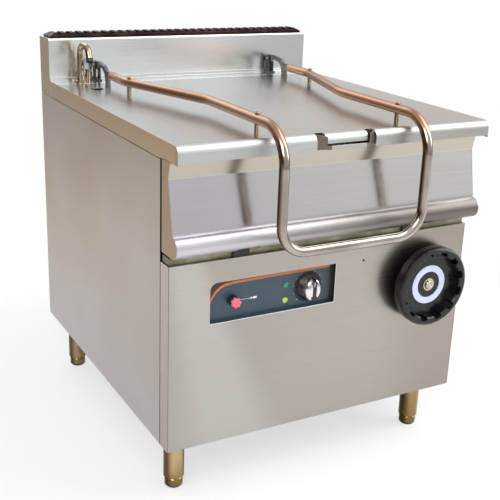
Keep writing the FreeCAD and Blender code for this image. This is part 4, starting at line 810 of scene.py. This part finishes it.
class DressControls(Dress, bpy.types.Operator):
    """Finishes the recessed controls and adds their plain marks"""
    bl_idname = "brattpan.controls"
    bl_label = "Controls"

    def dress(self, context):
        trim = context.scene.brattpan_trim
        shown("control_plate", panel_plate("slate_plate", trim.slate, (0.014, 0.01, 0.01)))
        black = moulded("black_knob", (0.012, 0.012, 0.013), (0.03, 0.03, 0.032), 0.22)
        shown("thermostat_knob", black)
        shown("switch_knob", black)
        shown("lamp_green", lamp_lens("green_lens", (0.0, 0.12, 0.07), (0.01, 0.3, 0.17)))
        shown("lamp_yellow", lamp_lens("yellow_lens", (0.3, 0.42, 0.05), (0.6, 0.75, 0.25)))
        white = enamel("white_print", (0.75, 0.75, 0.74), (0.6, 0.6, 0.6))
        self.lines(trim, white)
        self.knob_trim(white)
        self.switch_cap()
        self.recess_edge()

    def recess_edge(self):
        """A painted highlight: a brighter copy of the steel along the recess's lower and right cut edges.
        """
        left, right = RECESS_X
        low, high = RECESS_Z
        front = FACE_Y - 0.0002

        def edge(work):
            ribbon(work, [(left, low - 0.0006), (right, low - 0.0006)], [0.0014] * 2, front, FACE_Y)
            ribbon(work, [(right, low), (right, high)], [0.0010] * 2, front, FACE_Y)

        bright = polished_tube("cut_edge_highlight", (0.9, 0.89, 0.9), (0.8, 0.79, 0.8))
        piece_from("recess_edge", "root", bright, edge)

    def lines(self, trim, white):
        """The orange line and its dark field above, the white pointer line and the dial's ticks."""
        back = PLATE_Y - 0.0001
        front = back - trim.mark_depth
        widths = [trim.line_width * (0.7 + 0.3 * min(index / 5, 1)) for index in range(len(LINE_PATH))]

        def line(work):
            ribbon(work, LINE_PATH, widths, front, back)

        orange = enamel("orange_enamel", trim.orange, (0.42, 0.12, 0.03))
        piece_from("control_line", "root", orange, line)

        def field(work):
            edge = [(x + 0.0010, z + 0.0030) for x, z in LINE_PATH]
            corner = [(0.0120, 0.5322), (-0.2830, 0.5322), (-0.2905, 0.5300), (-0.2965, 0.5240),
                      (-0.2998, 0.5150)]
            slab(work, edge[2:] + corner, back - 0.00012, back)

        dark = enamel("dark_enamel", (0.05, 0.02, 0.012), (0.022, 0.01, 0.008), 0.25)
        piece_from("control_field", "root", dark, field)

        def marks(work):
            ribbon(work, [(-0.2230, 0.4790), (-0.1960, 0.4790)], [0.0008] * 2, front, back)
            lathe(work, [(0.0, front), (0.0022, front), (0.0022, back), (0.0, back)], (-0.1930, 0, 0.4790))
            tip = [(-0.1890, 0.4765), (-0.1790, 0.4765), (-0.1790, 0.4815), (-0.1890, 0.4815)]
            slab(work, tip, front, back)
            middle = Vector(THERMOSTAT)
            for index in range(TICKS):
                angle = math.radians(225 - 270 * index / (TICKS - 1))
                way = Vector((math.cos(angle), math.sin(angle)))
                reach = TICK_END if index % 5 else LONG_TICK_END
                near = tuple(middle + way * TICK_START)
                far = tuple(middle + way * reach)
                ribbon(work, [near, far], [0.0009] * 2, front, back)

        piece_from("control_marks", "root", white, marks)

        def dial(work):
            spot = (THERMOSTAT[0], back, THERMOSTAT[1])
            profile = [(0.0, -0.0010), (0.0355, -0.0010), (0.0368, -0.0004), (0.0370, 0.0), (0.0, 0.0)]
            lathe(work, profile, spot)

        gloss = moulded("dial_black", (0.008, 0.008, 0.009), (0.018, 0.018, 0.019), 0.15)
        piece_from("thermostat_dial", "root", gloss, dial)

    def switch_cap(self):
        """The pink cap with petals on the switch's black stub."""
        x, z = SWITCH
        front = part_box("switch_knob")[0].y
        steps = 70
        rings = ((0.25, -0.0002), (0.3, -0.0012), (0.7, -0.0014), (0.93, -0.0008), (1.0, 0.0008),
                 (1.0, 0.0058))

        def cap(work):
            middle = work.verts.new((x, front - 0.0002, z))
            loops = []
            for share, depth in rings:
                loop = []
                for step in range(steps):
                    angle = 2 * math.pi * step / steps
                    radius = (CAP_R + PETAL * math.cos(PETALS * angle) * share) * share
                    spot = (x + radius * math.cos(angle), front + depth, z + radius * math.sin(angle))
                    loop.append(work.verts.new(spot))
                loops.append(loop)
            for step in range(steps):
                after = (step + 1) % steps
                work.faces.new((middle, loops[0][step], loops[0][after]))
                for inner, outer in zip(loops, loops[1:]):
                    work.faces.new((inner[step], outer[step], outer[after], inner[after]))
            work.faces.new(loops[-1])

        pink = moulded("red_knob", (0.70, 0.13, 0.2), (0.82, 0.3, 0.38), 0.25)
        piece_from("switch_cap", "switch_knob_body", pink, cap)

    def knob_trim(self, white):
        """The two chrome lobes beside the thermostat's grip and the white line on the grip."""
        x, z = THERMOSTAT
        grip_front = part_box("thermostat_knob")[0].y
        corner = math.acos(LOBE_GAP / LOBE_WIDTH)

        def lobes(work):
            for side in (-1, 1):
                lobe(work, side)

        def lobe(work, side):
            """Half a dome whose straight side stands against the grip."""
            middle = work.verts.new((x + side * LOBE_GAP, grip_front - 0.0016, z))
            loops = []
            rings = ((0.4, -0.0011), (0.7, 0.0008), (0.88, 0.0038), (0.97, 0.0078), (1.0, 0.0225))
            for share, depth in rings:
                loop = []
                for step in range(21):
                    angle = corner * (step / 10 - 1)
                    out = LOBE_GAP + (LOBE_WIDTH * math.cos(angle) - LOBE_GAP) * share
                    rise = LOBE_HEIGHT * math.sin(angle) * share
                    loop.append(work.verts.new((x + side * out, grip_front + depth, z + rise)))
                loops.append(loop)
            for first, second in zip(loops[0], loops[0][1:]):
                work.faces.new((middle, first, second))
            for inner, outer in zip(loops, loops[1:]):
                for step in range(20):
                    work.faces.new((inner[step], outer[step], outer[step + 1], inner[step + 1]))
            work.faces.new([middle] + [loop[0] for loop in loops] + [loop[-1] for loop in loops[::-1]])
            work.faces.new(loops[-1])

        chrome = polished_tube("knob_chrome", (0.75, 0.72, 0.72), (0.5, 0.45, 0.45))
        piece_from("thermostat_lobes", "thermostat_knob_body", chrome, lobes)

        def pointer(work):
            half, low, high = 0.0008, 0.009, 0.0205
            spots = [(x - half, z + low), (x + half, z + low), (x + half, z + high), (x - half, z + high)]
            slab(work, spots, grip_front - 0.0002, grip_front - 0.00002)

        piece_from("thermostat_pointer", "thermostat_knob_body", white, pointer)


class DressWheel(Dress, bpy.types.Operator):
    """Finishes the handwheel, its ring and its bolt"""
    bl_idname = "brattpan.wheel"
    bl_label = "Handwheel"

    def dress(self, context):
        black = moulded("wheel_black", (0.003, 0.0026, 0.0026), (0.009, 0.009, 0.009), 0.16, 500.0)
        shown("handwheel", black)
        shown("handwheel_ring", moulded("ring_blue", (0.58, 0.62, 0.82), (0.64, 0.68, 0.88), 0.3))
        shown("handwheel_bolt", polished_tube("bolt_steel", (0.5, 0.47, 0.38), (0.3, 0.27, 0.2)))


class DressFasteners(Dress, bpy.types.Operator):
    """Adds the small screws of the rear panel"""
    bl_idname = "brattpan.fasteners"
    bl_label = "Small screws"

    def dress(self, context):
        steel = polished_tube("screw_steel", (0.6, 0.6, 0.59), (0.46, 0.46, 0.45))
        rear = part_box("rear_panel")

        def rear_screws(work):
            pitch = (rear[1].z - rear[0].z - 2 * SCREW_INSET) / (SCREW_ROWS - 1)
            for row in range(SCREW_ROWS):
                z = rear[0].z + SCREW_INSET + row * pitch
                for x in (rear[0].x + SCREW_INSET, rear[1].x - SCREW_INSET):
                    cross_screw(work, (x, rear[1].y - SCREW_SINK, z), SCREW_R)

        piece_from("rear_panel_screws", "root", steel, rear_screws)


class SetStage(Dress, bpy.types.Operator):
    """Lays the floor, hangs the lamps and sets the camera"""
    bl_idname = "brattpan.stage"
    bl_label = "Stage"

    def dress(self, context):
        stage = context.scene.brattpan_stage
        self.floor()
        self.world(context, stage)
        self.lamp("key_lamp", (-2.2, -2.6, 2.9), 2.2, stage.lamp_power)
        self.lamp("fill_lamp", (3.0, -1.6, 2.0), 2.0, stage.lamp_power * 0.45)
        self.lamp("top_lamp", (1.5, -1.0, 3.3), 2.2, stage.lamp_power * 0.6)
        self.lamp("rear_lamp", (-0.4, 2.6, 2.8), 2.2, stage.lamp_power * 0.3)
        self.camera(context, stage)
        context.scene.view_settings.view_transform = "Standard"

    def floor(self):
        work = bmesh.new()
        bmesh.ops.create_grid(work, x_segments=2, y_segments=2, size=9.0)
        mesh = bpy.data.meshes.new("floor")
        work.to_mesh(mesh)
        work.free()
        floor = bpy.data.objects.new("floor", mesh)
        bpy.context.scene.collection.objects.link(floor)
        finish = Finish("pale_floor")
        x, y, z = finish.axes()
        rays = finish.node("ShaderNodeLightPath").outputs
        camera = Number(finish, rays["Is Camera Ray"])
        diffuse = finish.node("ShaderNodeBsdfDiffuse", {}, {"Color": (0.82, 0.82, 0.82)})
        white = finish.node("ShaderNodeEmission", {}, {"Color": (1, 1, 1), "Strength": 1.0})
        distance = (x * x + y * y) ** 0.5
        share = camera * (0.62 + 0.38 * distance.ramp(0.7, 1.5))
        inputs = {0: share, 1: diffuse.outputs[0], 2: white.outputs[0]}
        both = finish.node("ShaderNodeMixShader", {}, inputs)
        finish.node("ShaderNodeOutputMaterial", {}, {0: both.outputs[0]})
        mesh.materials.append(finish.material)

    def world(self, context, stage):
        world = bpy.data.worlds.new("studio")
        context.scene.world = world
        world.use_nodes = True
        finish = Finish("studio", None, world.node_tree)
        rays = finish.node("ShaderNodeLightPath").outputs
        seen = Number(finish, rays["Is Camera Ray"])
        mirror = Number(finish, rays["Is Glossy Ray"]).larger(Number(finish, rays["Is Transmission Ray"]))
        direction = finish.node("ShaderNodeTexCoord").outputs["Generated"]
        split = finish.node("ShaderNodeSeparateXYZ", {}, {0: direction})
        height = Number(finish, split.outputs[2])
        side = Number(finish, split.outputs[0])
        glow = 0.68 + 0.36 * height.ramp(-0.1, 0.7) + 0.1 * side.ramp(-0.2, 0.9)
        strength = seen + (1 - seen) * (mirror * glow + (1 - mirror) * stage.room)
        wall = mirror * (1 - seen) * (0 - side).ramp(0.3, 0.85) * (1 - height.ramp(0.3, 0.8))
        tint = finish.mix(wall, (1, 1, 1), (0.3, 0.23, 0.17))
        light = finish.node("ShaderNodeBackground", {}, {"Color": tint, "Strength": strength})
        finish.node("ShaderNodeOutputWorld", {}, {0: light.outputs[0]})

    def lamp(self, name, place, size, power):
        light = bpy.data.lights.new(name, "AREA")
        light.shape = "SQUARE"
        light.size = size
        light.energy = power
        lamp = bpy.data.objects.new(name, light)
        lamp.location = place
        aim = Vector((0, 0, 0.5)) - Vector(place)
        lamp.rotation_euler = aim.to_track_quat("-Z", "Y").to_euler()
        bpy.context.scene.collection.objects.link(lamp)

    def camera(self, context, stage):
        data = bpy.data.cameras.new("camera")
        data.sensor_width = 36.0
        data.lens = stage.focal
        data.clip_end = 60.0
        data.shift_x = 0.0063
        data.shift_y = -0.0167
        camera = bpy.data.objects.new("camera", data)
        right = Vector((0.87952, -0.47471, 0.03299))
        up = Vector((0.12562, 0.29848, 0.94611))
        away = Vector((-0.45897, -0.82799, 0.32215))
        turn = Matrix((right, up, away)).transposed().to_4x4()
        camera.matrix_world = Matrix.Translation((-1.12808, -2.03388, 1.25839)) @ turn
        bpy.context.scene.collection.objects.link(camera)
        context.scene.camera = camera


class BrattPanPanel(bpy.types.Panel):
    """Lists the pan's sizes, colours and pieces"""
    bl_idname = "VIEW3D_PT_brattpan"
    bl_label = "Tilting bratt pan"
    bl_space_type = "VIEW_3D"
    bl_region_type = "UI"
    bl_category = "Bratt Pan"

    def draw(self, context):
        for group in SETTINGS:
            settings = getattr(context.scene, group)
            box = self.layout.box()
            for key in settings.bl_rna.properties.keys():
                if key not in ("rna_type", "name"):
                    box.prop(settings, key)
        for operator in OPERATORS:
            self.layout.operator(operator.bl_idname)


SETTINGS = {
    "brattpan_sheet": SheetSettings,
    "brattpan_trim": TrimSettings,
    "brattpan_stage": StageSettings,
}
OPERATORS = (
    DressCabinet, DressDrive, DressPan, DressLid, DressTap, DressControls, DressWheel,
    DressFasteners, SetStage,
)


def register():
    for group in (*SETTINGS.values(), *OPERATORS, BrattPanPanel):
        bpy.utils.register_class(group)
    for name, group in SETTINGS.items():
        setattr(bpy.types.Scene, name, bpy.props.PointerProperty(type=group))


def unregister():
    for name in SETTINGS:
        delattr(bpy.types.Scene, name)
    for group in reversed((*SETTINGS.values(), *OPERATORS, BrattPanPanel)):
        bpy.utils.unregister_class(group)


def main():
    register()
    for operator in OPERATORS:
        group, name = operator.bl_idname.split(".")
        getattr(getattr(bpy.ops, group), name)()


if __name__ == "__main__":
    main()
